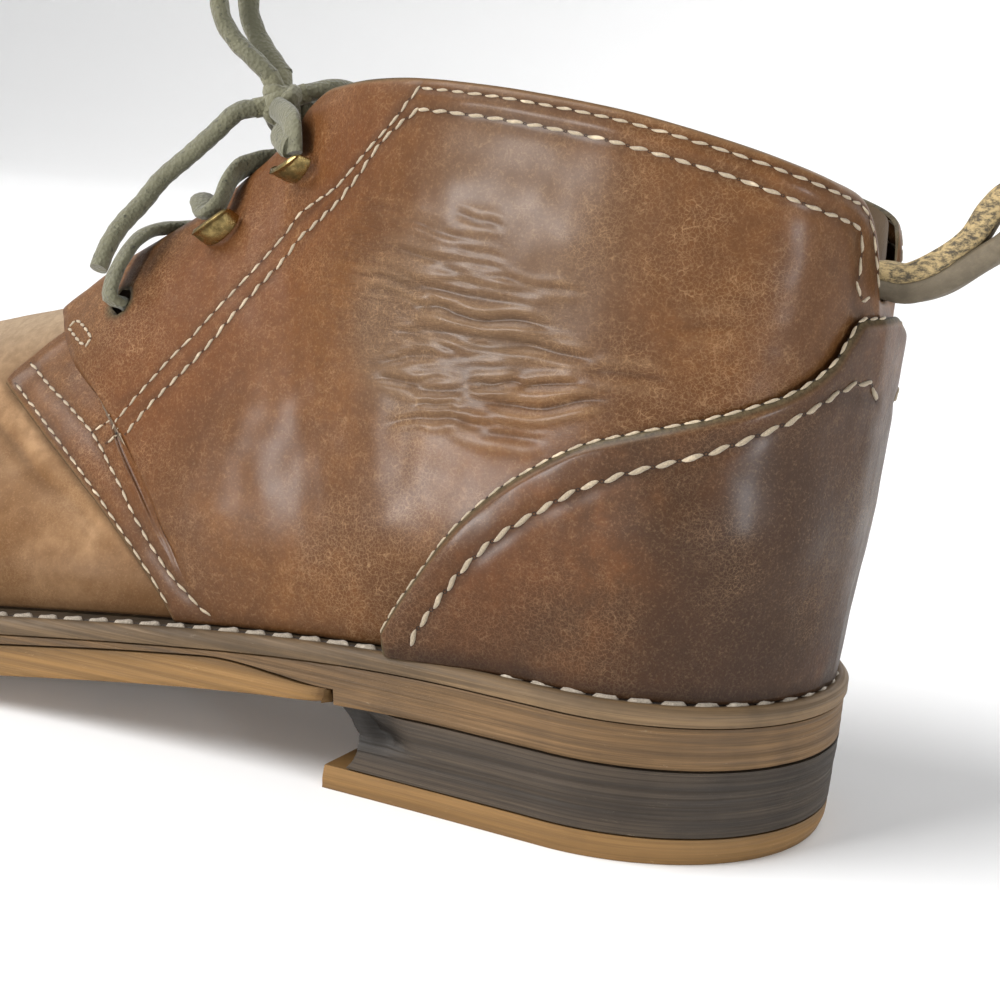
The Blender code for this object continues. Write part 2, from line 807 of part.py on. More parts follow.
def lace_strand(side):
    """From the low hole over the edge, across to the hook above, back across to the top."""
    rows = [row[1:] for row in LACE_ROWS]
    (q0, t0), (q1, t1), (q2, t2) = rows
    lift = STRAND_LIFT + GAP
    edge = 1.45 * STRAND_LIFT

    def over_edge(where, q):
        return face_point(where, q, 0.995, edge)

    def centre(qa, qb, rise):
        q = (qa + qb) / 2
        middle = (upper_point(-1, q, 1.0) + upper_point(1, q, 1.0)) / 2
        return middle + Vector((-0.3, 0, 1)).normalized() * rise * STRAND_LIFT

    seat_lift = lift + GAP
    return [
        face_point(side, q0, t0, lift),
        face_point(side, q0 - 0.003, t0 + 0.09, lift + GAP),
        over_edge(side, q0 - 0.007),
        centre(q0, q1, 1.3),
        over_edge(-side, q1 + 0.006),
        face_point(-side, q1 + 0.002, t1 + 0.04, seat_lift),
        face_point(-side, q1 - 0.003, t1 + 0.04, seat_lift),
        over_edge(-side, q1 - 0.006),
        centre(q1, q2, 0.8),
        over_edge(side, q2 + 0.014),
        face_point(side, q2 + 0.003, t2 + 0.04, seat_lift),
    ]


def knot_centre():
    q = LACE_ROWS[2][1]
    edge = (upper_point(-1, q, 1.0) + upper_point(1, q, 1.0)) / 2
    return edge + KNOT_OFFSET


# Routes of the free lace, as offsets from the middle of the knot
NEAR_LOOP = (
    (-0.0018, -0.0012, 0.0042),
    (-0.0044, -0.0022, 0.0066),
    (-0.0080, -0.0028, 0.0094),
    (-0.0106, -0.0032, 0.0126),
    (-0.0116, -0.0034, 0.0160),
    (-0.0120, -0.0032, 0.0198),
    (-0.0136, -0.0022, 0.0236),
    (-0.0144, 0.0002, 0.0262),
    (-0.0138, 0.0028, 0.0258),
    (-0.0122, 0.0038, 0.0226),
    (-0.0110, 0.0040, 0.0184),
    (-0.0104, 0.0040, 0.0144),
    (-0.0080, 0.0038, 0.0104),
    (-0.0042, 0.0028, 0.0068),
    (-0.0016, 0.0022, 0.0046),
)
NEAR_END = (
    (-0.0034, -0.0024, -0.0012),
    (-0.0062, -0.0040, -0.0022),
    (-0.0096, -0.0054, -0.0060),
    (-0.0138, -0.0066, -0.0102),
    (-0.0180, -0.0080, -0.0144),
    (-0.0204, -0.0098, -0.0186),
    (-0.0218, -0.0134, -0.0226),
    (-0.0222, -0.0162, -0.0262),
    (-0.0222, -0.0184, -0.0300),
)
FAR_LOOP = (
    (0.0024, 0.0030, 0.0020),
    (0.0056, 0.0080, 0.0034),
    (0.0060, 0.0170, 0.0026),
    (0.0040, 0.0270, -0.0010),
    (-0.0010, 0.0370, -0.0090),
    (-0.0070, 0.0440, -0.0190),
    (-0.0120, 0.0450, -0.0240),
    (-0.0140, 0.0405, -0.0190),
    (-0.0110, 0.0320, -0.0080),
    (-0.0075, 0.0240, -0.0020),
    (-0.0040, 0.0160, 0.0006),
    (-0.0018, 0.0100, 0.0010),
    (-0.0008, 0.0045, 0.0002),
)
FAR_END = (
    (-0.0038, 0.0026, -0.0014),
    (-0.0060, 0.0110, -0.0062),
    (-0.0120, 0.0180, -0.0100),
    (-0.0185, 0.0250, -0.0150),
    (-0.0230, 0.0315, -0.0225),
    (-0.0245, 0.0350, -0.0290),
)


def make_laces(collection, material, tools):
    step = 1.25 * LACE_DIAMETER
    strands = []
    for side, name in ((-1, "lace_crossings"), (1, "lace_second_strand")):
        route = smooth_route(lace_strand(side), step)
        strands.append(meshed(tube(name, route, LACE_DIAMETER, collection, material),
                              collection))
    strands[0].data.materials.clear()
    strands[0].data.materials.append(material)
    collection.objects.unlink(strands[1])
    tools.objects.link(strands[1])
    hide_tool(strands[1])
    join_in(strands[0], strands[1])

    middle = knot_centre()
    bm = bmesh.new()
    bmesh.ops.create_uvsphere(bm, u_segments=14, v_segments=9, radius=0.5)
    for vert in bm.verts:
        vert.co = Vector((vert.co[k] * KNOT_SIZE[k] for k in range(3))) + middle
    new_object("lace_knot", finish_mesh("lace_knot", bm, 60), collection, material)
    for name, route in (("lace_near_loop", NEAR_LOOP), ("lace_near_end", NEAR_END),
                        ("lace_far_loop", FAR_LOOP), ("lace_far_end", FAR_END)):
        points = smooth_route([middle + Vector(p) for p in route], step)
        tube(name, points, LACE_DIAMETER, collection, material)


def make_hooks(collection, material):
    """A scoop of thin brass on each facing, open towards the throat."""
    for label, q, t in LACE_ROWS[1:]:
        for side, where in ((-1, "outer"), (1, "inner")):
            normal = upper_normal(side, q, t)
            ahead = upper_point(side, q - 0.01, t) - upper_point(side, q, t)
            ahead = (ahead - normal * ahead.dot(normal)).normalized()
            away = normal.cross(ahead).normalized()
            if away.z > 0:
                away = -away
            seat = face_point(side, q, t - 0.03, 0.0)
            radius = HOOK_WIDTH / 2
            rise = LACE_DIAMETER + 3 * GAP
            points, faces = [], []
            turns, steps = 8, 3
            for i in range(turns + 1):
                turn = math.radians(-76 + 152 * i / turns)
                for j in range(steps + 1):
                    up = math.radians(2 + 64 * j / steps)
                    flat = math.cos(up)
                    points.append(seat + ahead * radius * math.sin(turn)
                                  + away * radius * 0.75 * math.cos(turn) * flat
                                  + normal * (1.5 * GAP + HOOK_PLATE / 2 + rise * math.sin(up)))
            for i in range(turns):
                for j in range(steps):
                    a = i * (steps + 1) + j
                    faces.append((a, a + steps + 1, a + steps + 2, a + 1))
            shell("hook_" + label + "_" + where, points, faces, -HOOK_PLATE / 2,
                  HOOK_PLATE / 2, collection, material)


# Side view of the doubled strap, as offsets from the bottom of the notch
STRAP_ROUTE = (
    # back, up
    (-0.0065, 0.0010),
    (-0.0005, 0.0016),
    (0.0035, 0.0014),
    (0.0085, 0.0034),
    (0.0140, 0.0076),
    (0.0178, 0.0110),
    (0.0204, 0.0150),
    (0.0196, 0.0180),
    (0.0164, 0.0176),
    (0.0142, 0.0148),
    (0.0118, 0.0104),
    (0.0068, 0.0058),
    (0.0024, 0.0037),
    (-0.0010, 0.0038),
    (-0.0065, 0.0033),
)


def make_strap(collection, material):
    """A strip folded on itself, sewn in at the bottom of the notch, with a small eye."""
    notch = upper_point(-1, 0.0, 1.0)
    scale = STRAP_LENGTH / 0.0269
    lift = GAP + STRAP_THICKNESS / 2 - 0.0007
    route = [Vector((notch.x + back * scale, 0.0, notch.z + up * scale + lift))
             for back, up in STRAP_ROUTE]
    spine = smooth_route(route, STRAP_THICKNESS)
    bm = bmesh.new()
    rows = []
    for i, point in enumerate(spine):
        along = (spine[min(i + 1, len(spine) - 1)] - spine[max(i - 1, 0)]).normalized()
        across = Vector((0, 1, 0))
        up = along.cross(across)
        corners = []
        for a, b in ((-1, -1), (1, -1), (1, 1), (-1, 1)):
            corners.append(bm.verts.new(point + across * a * STRAP_WIDTH / 2
                                        + up * b * STRAP_THICKNESS / 2))
        rows.append(corners)
    for back, fore in zip(rows, rows[1:]):
        for k in range(4):
            n = (k + 1) % 4
            bm.faces.new((back[k], back[n], fore[n], fore[k]))
    bm.faces.new(rows[0])
    bm.faces.new(rows[-1][::-1])
    new_object("pull_strap", finish_mesh("pull_strap", bm, 40), collection, material)


def punch_holes(upper, tools):
    """The lowest pair of lace holes, cut straight through the facings."""
    q, t = LACE_ROWS[0][1:]
    for side in (-1, 1):
        point = upper_point(side, q, t)
        normal = upper_normal(side, q, t)
        bm = bmesh.new()
        bmesh.ops.create_cone(bm, cap_ends=True, segments=20, radius1=HOLE_DIAMETER / 2,
                              radius2=HOLE_DIAMETER / 2, depth=5 * LEATHER)
        mesh = bpy.data.meshes.new("hole_tool")
        bm.to_mesh(mesh)
        bm.free()
        tool = new_object("hole_tool", mesh, tools, None)
        tool.location = point
        tool.rotation_mode = "QUATERNION"
        tool.rotation_quaternion = normal.to_track_quat("Z", "Y")
        hide_tool(tool)
        modifier = upper.modifiers.new("hole", "BOOLEAN")
        modifier.operation = "DIFFERENCE"
        modifier.solver = "EXACT"
        modifier.object = tool


def make_material(name, colour, roughness, metallic=0.0):
    material = bpy.data.materials.new(name)
    material.use_nodes = True
    shader = material.node_tree.nodes["Principled BSDF"]
    shader.inputs["Base Color"].default_value = (*colour, 1.0)
    shader.inputs["Roughness"].default_value = roughness
    shader.inputs["Metallic"].default_value = metallic
    return material


MATERIALS = (
    # name, linear colour, roughness, metallic
    ("upper", (0.21, 0.085, 0.038), 0.42, 0.0),
    ("heel_counter", (0.13, 0.062, 0.032), 0.45, 0.0),
    ("tongue", (0.20, 0.095, 0.045), 0.60, 0.0),
    ("welt", (0.13, 0.090, 0.058), 0.65, 0.0),
    ("midsole", (0.16, 0.105, 0.058), 0.65, 0.0),
    ("outsole", (0.34, 0.195, 0.080), 0.60, 0.0),
    ("heel_stack", (0.060, 0.043, 0.033), 0.62, 0.0),
    ("top_lift", (0.33, 0.180, 0.075), 0.60, 0.0),
    ("insole", (0.25, 0.165, 0.095), 0.75, 0.0),
    ("pull_strap", (0.15, 0.110, 0.060), 0.85, 0.0),
    ("hook", (0.60, 0.42, 0.14), 0.28, 1.0),
    ("lace", (0.32, 0.31, 0.215), 0.80, 0.0),
)


def main():
    clear_scene()
    collection = bpy.data.collections.new("chukka_boot")
    bpy.context.scene.collection.children.link(collection)
    materials = {row[0]: make_material(*row) for row in MATERIALS}
    make_sole(collection, materials)
    tools = bpy.data.collections.new("cutters")
    bpy.context.scene.collection.children.link(tools)
    upper = make_upper(collection, materials["upper"])
    punch_holes(upper, tools)
    make_counter(collection, materials["heel_counter"])
    make_tongue(collection, materials["tongue"])
    make_strap(collection, materials["pull_strap"])
    make_hooks(collection, materials["hook"])
    make_laces(collection, materials["lace"], tools)


main()
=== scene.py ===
"""Looks of a worn left chukka boot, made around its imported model.

Metres, in the model's own frame: the origin is on the floor under the centre of the round
of the heel, +X points to the heel, the outer side of the foot is at -Y, and +Z is up. Every
leather panel is drawn on one surface, by the share of the way along the foot from heel to
toe and the share of the way up from the welt.
"""

import functools
import math
import random

import bmesh
import bpy
import numpy as np
from mathutils import Matrix, Vector, noise


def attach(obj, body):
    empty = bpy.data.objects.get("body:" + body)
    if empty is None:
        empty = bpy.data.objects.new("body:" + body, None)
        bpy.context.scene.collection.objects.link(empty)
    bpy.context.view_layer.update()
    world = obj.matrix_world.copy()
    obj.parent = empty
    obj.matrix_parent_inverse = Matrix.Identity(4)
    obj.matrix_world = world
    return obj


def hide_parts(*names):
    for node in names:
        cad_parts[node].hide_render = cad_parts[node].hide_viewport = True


bl_info = {
    "name": "Worn chukka boot",
    "version": (1, 0, 0),
    "blender": (4, 5, 0),
    "location": "3D View > Sidebar > Boot",
    "description": "Leather, seams, laces and sole of a worn chukka boot around its packed model",
    "category": "Object",
}

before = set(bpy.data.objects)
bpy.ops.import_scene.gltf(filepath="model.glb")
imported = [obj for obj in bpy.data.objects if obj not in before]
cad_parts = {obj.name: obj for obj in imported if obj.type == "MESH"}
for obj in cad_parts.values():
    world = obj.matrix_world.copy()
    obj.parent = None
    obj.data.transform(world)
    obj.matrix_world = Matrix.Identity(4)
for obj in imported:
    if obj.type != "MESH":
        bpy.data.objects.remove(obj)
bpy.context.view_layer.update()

# Driving sizes, as in the part's own source
SOLE_LENGTH = 0.300
BALL_WIDTH = 0.098
WAIST_WIDTH = 0.067
HEEL_WIDTH = 0.0682
HEEL_LENGTH = 0.0705
TOE_ROUND = 0.062
TOE_SWING = 0.009
HEEL_HEIGHT = 0.0150
TOP_LIFT_THICKNESS = 0.0042
LIFT_LIP = 0.0018
BREAST_HOLLOW = 0.0045
SOLE_THICKNESS_HEEL = 0.0096
SOLE_THICKNESS_BALL = 0.0117
WELT_THICKNESS = 0.0029
WELT_WIDTH = 0.0125
OUTSOLE_THICKNESS = 0.0054
OUTSOLE_REAR_THICKNESS = 0.0022
BALL_FLAT_START = 0.203
BALL_FLAT_END = 0.224
TOE_SPRING = 0.010
EDGE_TRIM = 0.0004
COLLAR_HEIGHT = 0.0857
COLLAR_WIDTH = 0.062
INNER_COLLAR_DROP = 0.0045
INSTEP_HEIGHT = 0.0524
THROAT_GAP = 0.020
LEATHER = 0.0024
VAMP_STEP = 0.0015
COUNTER_LEATHER = 0.0018
TONGUE_THICKNESS = 0.0020
HOLE_DIAMETER = 0.0052
HOOK_WIDTH = 0.0090
HOOK_PLATE = 0.0008
LACE_DIAMETER = 0.0034
STRAP_WIDTH = 0.0070
STRAP_THICKNESS = 0.0019
STRAP_LENGTH = 0.0255
GAP = 0.0003
HEEL_RADIUS = HEEL_WIDTH / 2
MM = 0.001

# Plan of the sole: one row for each section
SOLE_PLAN = (
    # along / SOLE_LENGTH, width named here, outer share, inner share
    (0.000, HEEL_WIDTH, 0.500, 0.500),
    (0.114, HEEL_WIDTH, 0.500, 0.500),
    (0.233, HEEL_WIDTH, 0.507, 0.484),
    (0.393, WAIST_WIDTH, 0.559, 0.441),
    (0.500, BALL_WIDTH, 0.421, 0.318),
    (0.600, BALL_WIDTH, 0.472, 0.385),
    (0.677, BALL_WIDTH, 0.502, 0.447),
    (0.740, BALL_WIDTH, 0.496, 0.490),
    (0.817, BALL_WIDTH, 0.462, 0.500),
    (0.900, BALL_WIDTH, 0.410, 0.482),
    (1.000, BALL_WIDTH, 0.345, 0.425),
)

# How far the upper's foot stands in from the edge of the welt
FOOT_INSET = (
    # share of the way from heel to toe, inset / WELT_WIDTH
    (0.00, 0.32),
    (0.08, 0.34),
    (0.16, 0.36),
    (0.34, 0.30),
    (0.50, 0.36),
    (0.70, 0.42),
    (1.00, 0.44),
)

# Collar: from the notch at the back to the round of its front corner
COLLAR = (
    # foot share, along / SOLE_LENGTH, half / COLLAR_WIDTH, height / COLLAR_HEIGHT,
    # lift and drop / COLLAR_HEIGHT, belly and reach / BALL_WIDTH
    (0.000, 0.0033, 0.000, 0.697, 0.210, 0.012, 0.210, 0.014),
    (0.012, 0.0033, 0.062, 0.706, 0.210, 0.012, 0.215, 0.014),
    (0.018, 0.0037, 0.095, 0.745, 0.212, 0.012, 0.225, 0.015),
    (0.024, 0.0047, 0.118, 0.792, 0.215, 0.012, 0.240, 0.016),
    (0.032, 0.0067, 0.153, 0.838, 0.220, 0.012, 0.270, 0.018),
    (0.042, 0.0093, 0.200, 0.868, 0.225, 0.013, 0.285, 0.018),
    (0.056, 0.0127, 0.262, 0.881, 0.230, 0.014, 0.290, 0.018),
    (0.075, 0.0180, 0.331, 0.892, 0.240, 0.018, 0.300, 0.015),
    (0.110, 0.0433, 0.427, 0.922, 0.250, 0.026, 0.340, 0.010),
    (0.150, 0.1167, 0.500, 0.975, 0.260, 0.031, 0.400, 0.008),
    (0.190, 0.1900, 0.492, 1.000, 0.260, 0.035, 0.360, 0.012),
    (0.225, 0.2517, 0.427, 1.013, 0.260, 0.038, 0.290, 0.040),
    (0.243, 0.2900, 0.323, 1.010, 0.270, 0.040, 0.240, 0.080),
    (0.256, 0.3150, 0.242, 0.984, 0.280, 0.041, 0.200, 0.110),
)

# Facing: the laced edge, from the collar down to the end of the throat
FACING = (
    # foot share, along / SOLE_LENGTH, half / THROAT_GAP, height / COLLAR_HEIGHT,
    # lift and drop / COLLAR_HEIGHT, belly and reach / BALL_WIDTH
    (0.268, 0.3300, 0.625, 0.937, 0.290, 0.041, 0.170, 0.130),
    (0.285, 0.3600, 0.585, 0.858, 0.290, 0.041, 0.140, 0.150),
    (0.300, 0.3933, 0.550, 0.789, 0.270, 0.041, 0.120, 0.160),
    (0.315, 0.4350, 0.525, 0.722, 0.240, 0.036, 0.095, 0.165),
    (0.330, 0.4900, 0.500, 0.612, 0.200, 0.031, 0.070, 0.165),
)

# Ridge of the instep and vamp, from the end of the throat to the toe
RIDGE = (
    # foot share, along / SOLE_LENGTH, height / INSTEP_HEIGHT,
    # lift and drop / INSTEP_HEIGHT, belly and reach / BALL_WIDTH
    (0.335, 0.500, 1.020, 0.330, 0.031, 0.055, 0.170),
    (0.342, 0.545, 0.975, 0.310, 0.031, 0.045, 0.175),
    (0.350, 0.600, 0.915, 0.320, 0.036, 0.035, 0.185),
    (0.370, 0.617, 0.893, 0.325, 0.041, 0.030, 0.190),
    (0.420, 0.645, 0.860, 0.345, 0.051, 0.020, 0.205),
    (0.500, 0.683, 0.818, 0.380, 0.051, 0.020, 0.215),
    (0.600, 0.731, 0.767, 0.380, 0.051, 0.020, 0.235),
    (0.700, 0.783, 0.715, 0.380, 0.041, 0.010, 0.245),
    (0.800, 0.831, 0.667, 0.365, 0.041, 0.006, 0.225),
    (0.900, 0.872, 0.620, 0.345, 0.031, 0.004, 0.195),
    (1.000, 0.893, 0.586, 0.325, 0.031, 0.004, 0.165),
)

# Upper edge of the heel counter
COUNTER_EDGE = (
    # foot share, height / COLLAR_HEIGHT
    (0.000, 0.672),
    (0.036, 0.670),
    (0.045, 0.640),
    (0.053, 0.600),
    (0.072, 0.555),
    (0.095, 0.517),
    (0.118, 0.480),
    (0.145, 0.425),
    (0.170, 0.340),
    (0.188, 0.260),
    (0.207, 0.155),
    (0.222, 0.070),
    (0.230, 0.018),
)
THROAT_END = 0.330
RIDGE_START = 0.335
QUARTER_FRONT = 0.349

# Length of the foot's line and height of the side, for even steps on a panel
FOOT_LINE = 0.320
SIDE_HEIGHT = 0.075

# Where each pair of holes or hooks sits on the facing
LACE_ROWS = (
    # name, foot share, share of the way up the surface
    ("low", 0.3180, 0.800),
    ("middle", 0.2920, 0.850),
    ("top", 0.2580, 0.850),
)

# Routes of the free lace, as offsets from the middle of the knot
KNOT_OFFSET = Vector((-0.0100, -0.0072, 0.0007))
KNOT_SIZE = (0.0072, 0.0076, 0.0072)
NEAR_LOOP = (
    (-0.0018, -0.0012, 0.0042),
    (-0.0044, -0.0022, 0.0066),
    (-0.0080, -0.0028, 0.0094),
    (-0.0106, -0.0032, 0.0126),
    (-0.0116, -0.0034, 0.0160),
    (-0.0120, -0.0032, 0.0198),
    (-0.0136, -0.0022, 0.0236),
    (-0.0144, 0.0002, 0.0262),
    (-0.0138, 0.0028, 0.0258),
    (-0.0122, 0.0038, 0.0226),
    (-0.0110, 0.0040, 0.0184),
    (-0.0104, 0.0040, 0.0144),
    (-0.0080, 0.0038, 0.0104),
    (-0.0042, 0.0028, 0.0068),
    (-0.0016, 0.0022, 0.0046),
)
NEAR_END = (
    (-0.0034, -0.0024, -0.0012),
    (-0.0062, -0.0040, -0.0022),
    (-0.0096, -0.0054, -0.0060),
    (-0.0138, -0.0066, -0.0102),
    (-0.0180, -0.0080, -0.0144),
    (-0.0204, -0.0098, -0.0186),
    (-0.0218, -0.0134, -0.0226),
    (-0.0222, -0.0162, -0.0262),
    (-0.0222, -0.0184, -0.0300),
)
FAR_LOOP = (
    (0.0024, 0.0030, 0.0020),
    (0.0056, 0.0080, 0.0034),
    (0.0060, 0.0170, 0.0026),
    (0.0040, 0.0270, -0.0010),
    (-0.0010, 0.0370, -0.0090),
    (-0.0070, 0.0440, -0.0190),
    (-0.0120, 0.0450, -0.0240),
    (-0.0140, 0.0405, -0.0190),
    (-0.0110, 0.0320, -0.0080),
    (-0.0075, 0.0240, -0.0020),
    (-0.0040, 0.0160, 0.0006),
    (-0.0018, 0.0100, 0.0010),
    (-0.0008, 0.0045, 0.0002),
)
FAR_END = (
    (-0.0038, 0.0026, -0.0014),
    (-0.0060, 0.0110, -0.0062),
    (-0.0120, 0.0180, -0.0100),
    (-0.0185, 0.0250, -0.0150),
    (-0.0230, 0.0315, -0.0225),
    (-0.0245, 0.0350, -0.0290),
)

# Side view of the doubled strap, as offsets from the bottom of the notch
STRAP_ROUTE = (
    # back, up
    (-0.0065, 0.0010),
    (-0.0005, 0.0016),
    (0.0035, 0.0014),
    (0.0085, 0.0034),
    (0.0140, 0.0076),
    (0.0178, 0.0110),
    (0.0204, 0.0150),
    (0.0196, 0.0180),
    (0.0164, 0.0176),
    (0.0142, 0.0148),
    (0.0118, 0.0104),
    (0.0068, 0.0058),
    (0.0024, 0.0037),
    (-0.0010, 0.0038),
    (-0.0065, 0.0033),
)


# Curves and heights shared with the part's source

def ease(value):
    value = min(max(value, 0.0), 1.0)
    return value * value * (3 - 2 * value)


def soft(values):
    values = np.clip(values, 0.0, 1.0)
    return values * values * (3 - 2 * values)


def bell(distance, width):
    return np.exp(-(distance / width) ** 2)


def spread(xs, ys, x):
    """Monotone cubic curve through listed values."""
    xs = np.asarray(xs, float)
    ys = np.asarray(ys, float)
    if x <= xs[0]:
        return float(ys[0])
    if x >= xs[-1]:
        return float(ys[-1])
    h = np.diff(xs)
    d = np.diff(ys) / h
    m = np.zeros(len(xs))
    m[0] = d[0]
    m[-1] = d[-1]
    for i in range(1, len(xs) - 1):
        if d[i - 1] * d[i] > 0:
            w1 = 2 * h[i] + h[i - 1]
            w2 = h[i] + 2 * h[i - 1]
            m[i] = (w1 + w2) / (w1 / d[i - 1] + w2 / d[i])
    i = int(np.searchsorted(xs, x, side="right")) - 1
    s = (x - xs[i]) / h[i]
    return float(
        ys[i] * (1 + 2 * s) * (1 - s) ** 2
        + m[i] * h[i] * s * (1 - s) ** 2
        + ys[i + 1] * s * s * (3 - 2 * s)
        + m[i + 1] * h[i] * s * s * (s - 1)
    )


def run_along(points):
    """Distance of each point from the first, along the line."""
    run = [0.0]
    for a, b in zip(points, points[1:]):
        run.append(run[-1] + (b - a).length)
    return run


def column(table, index):
    return [row[index] for row in table]


def sole_bottom(along):
    fall_start = HEEL_LENGTH - 0.3 * HEEL_LENGTH
    fall = ease((along - fall_start) / (BALL_FLAT_START - fall_start))
    base = HEEL_HEIGHT * (1 - fall)
    if along > BALL_FLAT_END:
        base += TOE_SPRING * ((along - BALL_FLAT_END) / (SOLE_LENGTH - BALL_FLAT_END)) ** 1.8
    return base


def sole_thickness(along):
    share = ease((along - HEEL_LENGTH) / (BALL_FLAT_END - HEEL_LENGTH))
    return SOLE_THICKNESS_HEEL + (SOLE_THICKNESS_BALL - SOLE_THICKNESS_HEEL) * share


def outsole_thickness(along):
    share = ease((along - HEEL_LENGTH) / (0.35 * HEEL_LENGTH))
    return OUTSOLE_REAR_THICKNESS + (OUTSOLE_THICKNESS - OUTSOLE_REAR_THICKNESS) * share


def welt_top(along):
    return sole_bottom(along) + sole_thickness(along)


def plan_width(along, side):
    share = along / SOLE_LENGTH
    widths = [row[1] * row[2 if side < 0 else 3] for row in SOLE_PLAN]
    width = spread(column(SOLE_PLAN, 0), widths, share)
    toe_start = SOLE_LENGTH - TOE_ROUND
    swing = TOE_SWING * ease((along - 0.5 * SOLE_LENGTH) / (0.5 * SOLE_LENGTH))
    if along < HEEL_RADIUS:
        back = (HEEL_RADIUS - along) / HEEL_RADIUS
        return side * width * math.sqrt(max(0.0, 1 - back * back))
    if along > toe_start:
        front = (along - toe_start) / TOE_ROUND
        closing = max(0.0, 1 - front ** 2.3) ** (1 / 2.3)
        return swing + (side * width - swing) * closing
    return side * width


def plan_stations(last=SOLE_LENGTH, turn=3.0, step=0.002):
    """Distances along the foot, close together on the rounds of the heel and toe."""
    heel = [HEEL_RADIUS * (1 - math.cos(math.radians(a))) for a in np.arange(0, 90, turn)]
    toe_start = SOLE_LENGTH - TOE_ROUND
    end = min(last, toe_start)
    count = max(2, round((end - HEEL_RADIUS) / step))
    middle = [HEEL_RADIUS + (end - HEEL_RADIUS) * i / count for i in range(count)]
    if last <= toe_start:
        return heel + middle + [last]
    toe = [toe_start + TOE_ROUND * math.sin(math.radians(a)) for a in np.arange(0, 90.1, turn)]
    return heel + middle + toe


def side_line(side, inset=0.0, stations=None):
    """Edge of the sole on one side, from the back of the heel to the tip of the toe."""
    stations = stations or plan_stations()
    points = [Vector((HEEL_RADIUS - u, plan_width(u, side), 0.0)) for u in stations]
    line = []
    for i, point in enumerate(points):
        if i == 0:
            normal = Vector((1, 0, 0))
        elif i == len(points) - 1 and stations[-1] >= SOLE_LENGTH:
            normal = Vector((-1, 0, 0))
        else:
            after = points[min(i + 1, len(points) - 1)]
            tangent = (after - points[i - 1]).normalized()
            normal = Vector((tangent.y, -tangent.x, 0)) * side
        shift = inset(i / (len(points) - 1)) if callable(inset) else inset
        line.append((point - normal * shift, normal))
    return line


# The surface of the upper

class Foot:
    """Where the upper meets the welt on one side, by the share of the way to the toe."""

    def __init__(self, side):
        shares = column(FOOT_INSET, 0)
        insets = [row[1] * WELT_WIDTH for row in FOOT_INSET]
        stations = plan_stations(turn=10.0, step=0.0115)
        self.line = side_line(side, lambda s: spread(shares, insets, s), stations)
        self.run = run_along([point for point, _ in self.line])

    def at(self, share):
        distance = share * self.run[-1]
        i = int(np.searchsorted(self.run, distance, side="right")) - 1
        i = min(max(i, 0), len(self.line) - 2)
        part = (distance - self.run[i]) / (self.run[i + 1] - self.run[i])
        part = min(part, 1.0)
        before = self.line[max(i - 1, 0)][0]
        after = self.line[min(i + 2, len(self.line) - 1)][0]
        start, end = self.line[i][0], self.line[i + 1][0]
        leave = (end - before) / 2
        arrive = (after - start) / 2
        point = (start * (1 + 2 * part) * (1 - part) ** 2 + leave * part * (1 - part) ** 2
                 + end * part * part * (3 - 2 * part) + arrive * part * part * (part - 1))
        normal = self.line[i][1].lerp(self.line[i + 1][1], part).normalized()
        point.z = welt_top(HEEL_RADIUS - point.x) + GAP
        return point, normal


FEET = {-1: Foot(-1), 1: Foot(1)}


def surface_table(rows, half_scale, height_scale):
    """One row of real sizes for each section, with a half width of 0 on the ridge."""
    table = []
    for row in rows:
        q, along = row[0], row[1] * SOLE_LENGTH
        half = row[2] * half_scale if half_scale else 0.0
        height, lift, belly, drop, reach = row[3:] if half_scale else row[2:]
        table.append((q, along, half, height * height_scale, lift * height_scale,
                      belly * BALL_WIDTH, drop * height_scale, reach * BALL_WIDTH))
    return table


CREST = (surface_table(COLLAR, COLLAR_WIDTH, COLLAR_HEIGHT)
         + surface_table(FACING, THROAT_GAP, COLLAR_HEIGHT))
RIDGE_LINE = surface_table(RIDGE, None, INSTEP_HEIGHT)


def ridge_swing(along):
    return TOE_SWING * ease((along - 0.45 * SOLE_LENGTH) / (0.45 * SOLE_LENGTH))


@functools.lru_cache(maxsize=None)
def section(side, q):
    """The four handles of the curve from the welt to the crest at one place along the foot."""
    foot, normal = FEET[side].at(q)
    table = CREST if q <= THROAT_END + 1e-9 else RIDGE_LINE
    along, half, height, lift, belly, drop, reach = (
        spread(column(table, 0), column(table, k), q) for k in range(1, 8))
    if side > 0 and q < THROAT_END:
        height -= INNER_COLLAR_DROP * ease(q / 0.05) * (1 - ease((q - 0.15) / 0.10))
    crest = Vector((HEEL_RADIUS - along, side * half + ridge_swing(along),
                    welt_top(along) + height))
    lean = Vector((crest.x - foot.x, 0, 0)) * 0.12
    up = Vector((0, 0, 1))
    first = foot + up * lift + normal * belly + lean
    second = crest - up * drop + normal * reach - lean
    return np.array([foot, first, second, crest])


def on_section(handles, t):
    t = np.asarray(t, float)[..., None]
    s = 1 - t
    return (handles[0] * s ** 3 + handles[1] * (3 * s * s * t)
            + handles[2] * (3 * s * t * t) + handles[3] * t ** 3)


def skin_rows(side, q, shares, top=1.0):
    """Points up the surface at q, bridging the step from the facing to the ridge."""
    t = np.asarray(shares, float) * top
    if THROAT_END < q < RIDGE_START:
        part = (q - THROAT_END) / (RIDGE_START - THROAT_END)
        low = on_section(section(side, THROAT_END), np.asarray(shares, float))
        high = on_section(section(side, RIDGE_START), t)
        return low * (1 - part) + high * part
    return on_section(section(side, round(q, 6)), t)


def counter_top(q):
    """Share of the way up the upper's surface where the counter ends."""
    height = spread(column(COUNTER_EDGE, 0), column(COUNTER_EDGE, 1), q) * COLLAR_HEIGHT
    shares = np.linspace(0, 1, 400)
    rise = skin_rows(-1, q, shares)[:, 2] - welt_top(HEEL_RADIUS)
    return float(np.interp(height, rise, shares))


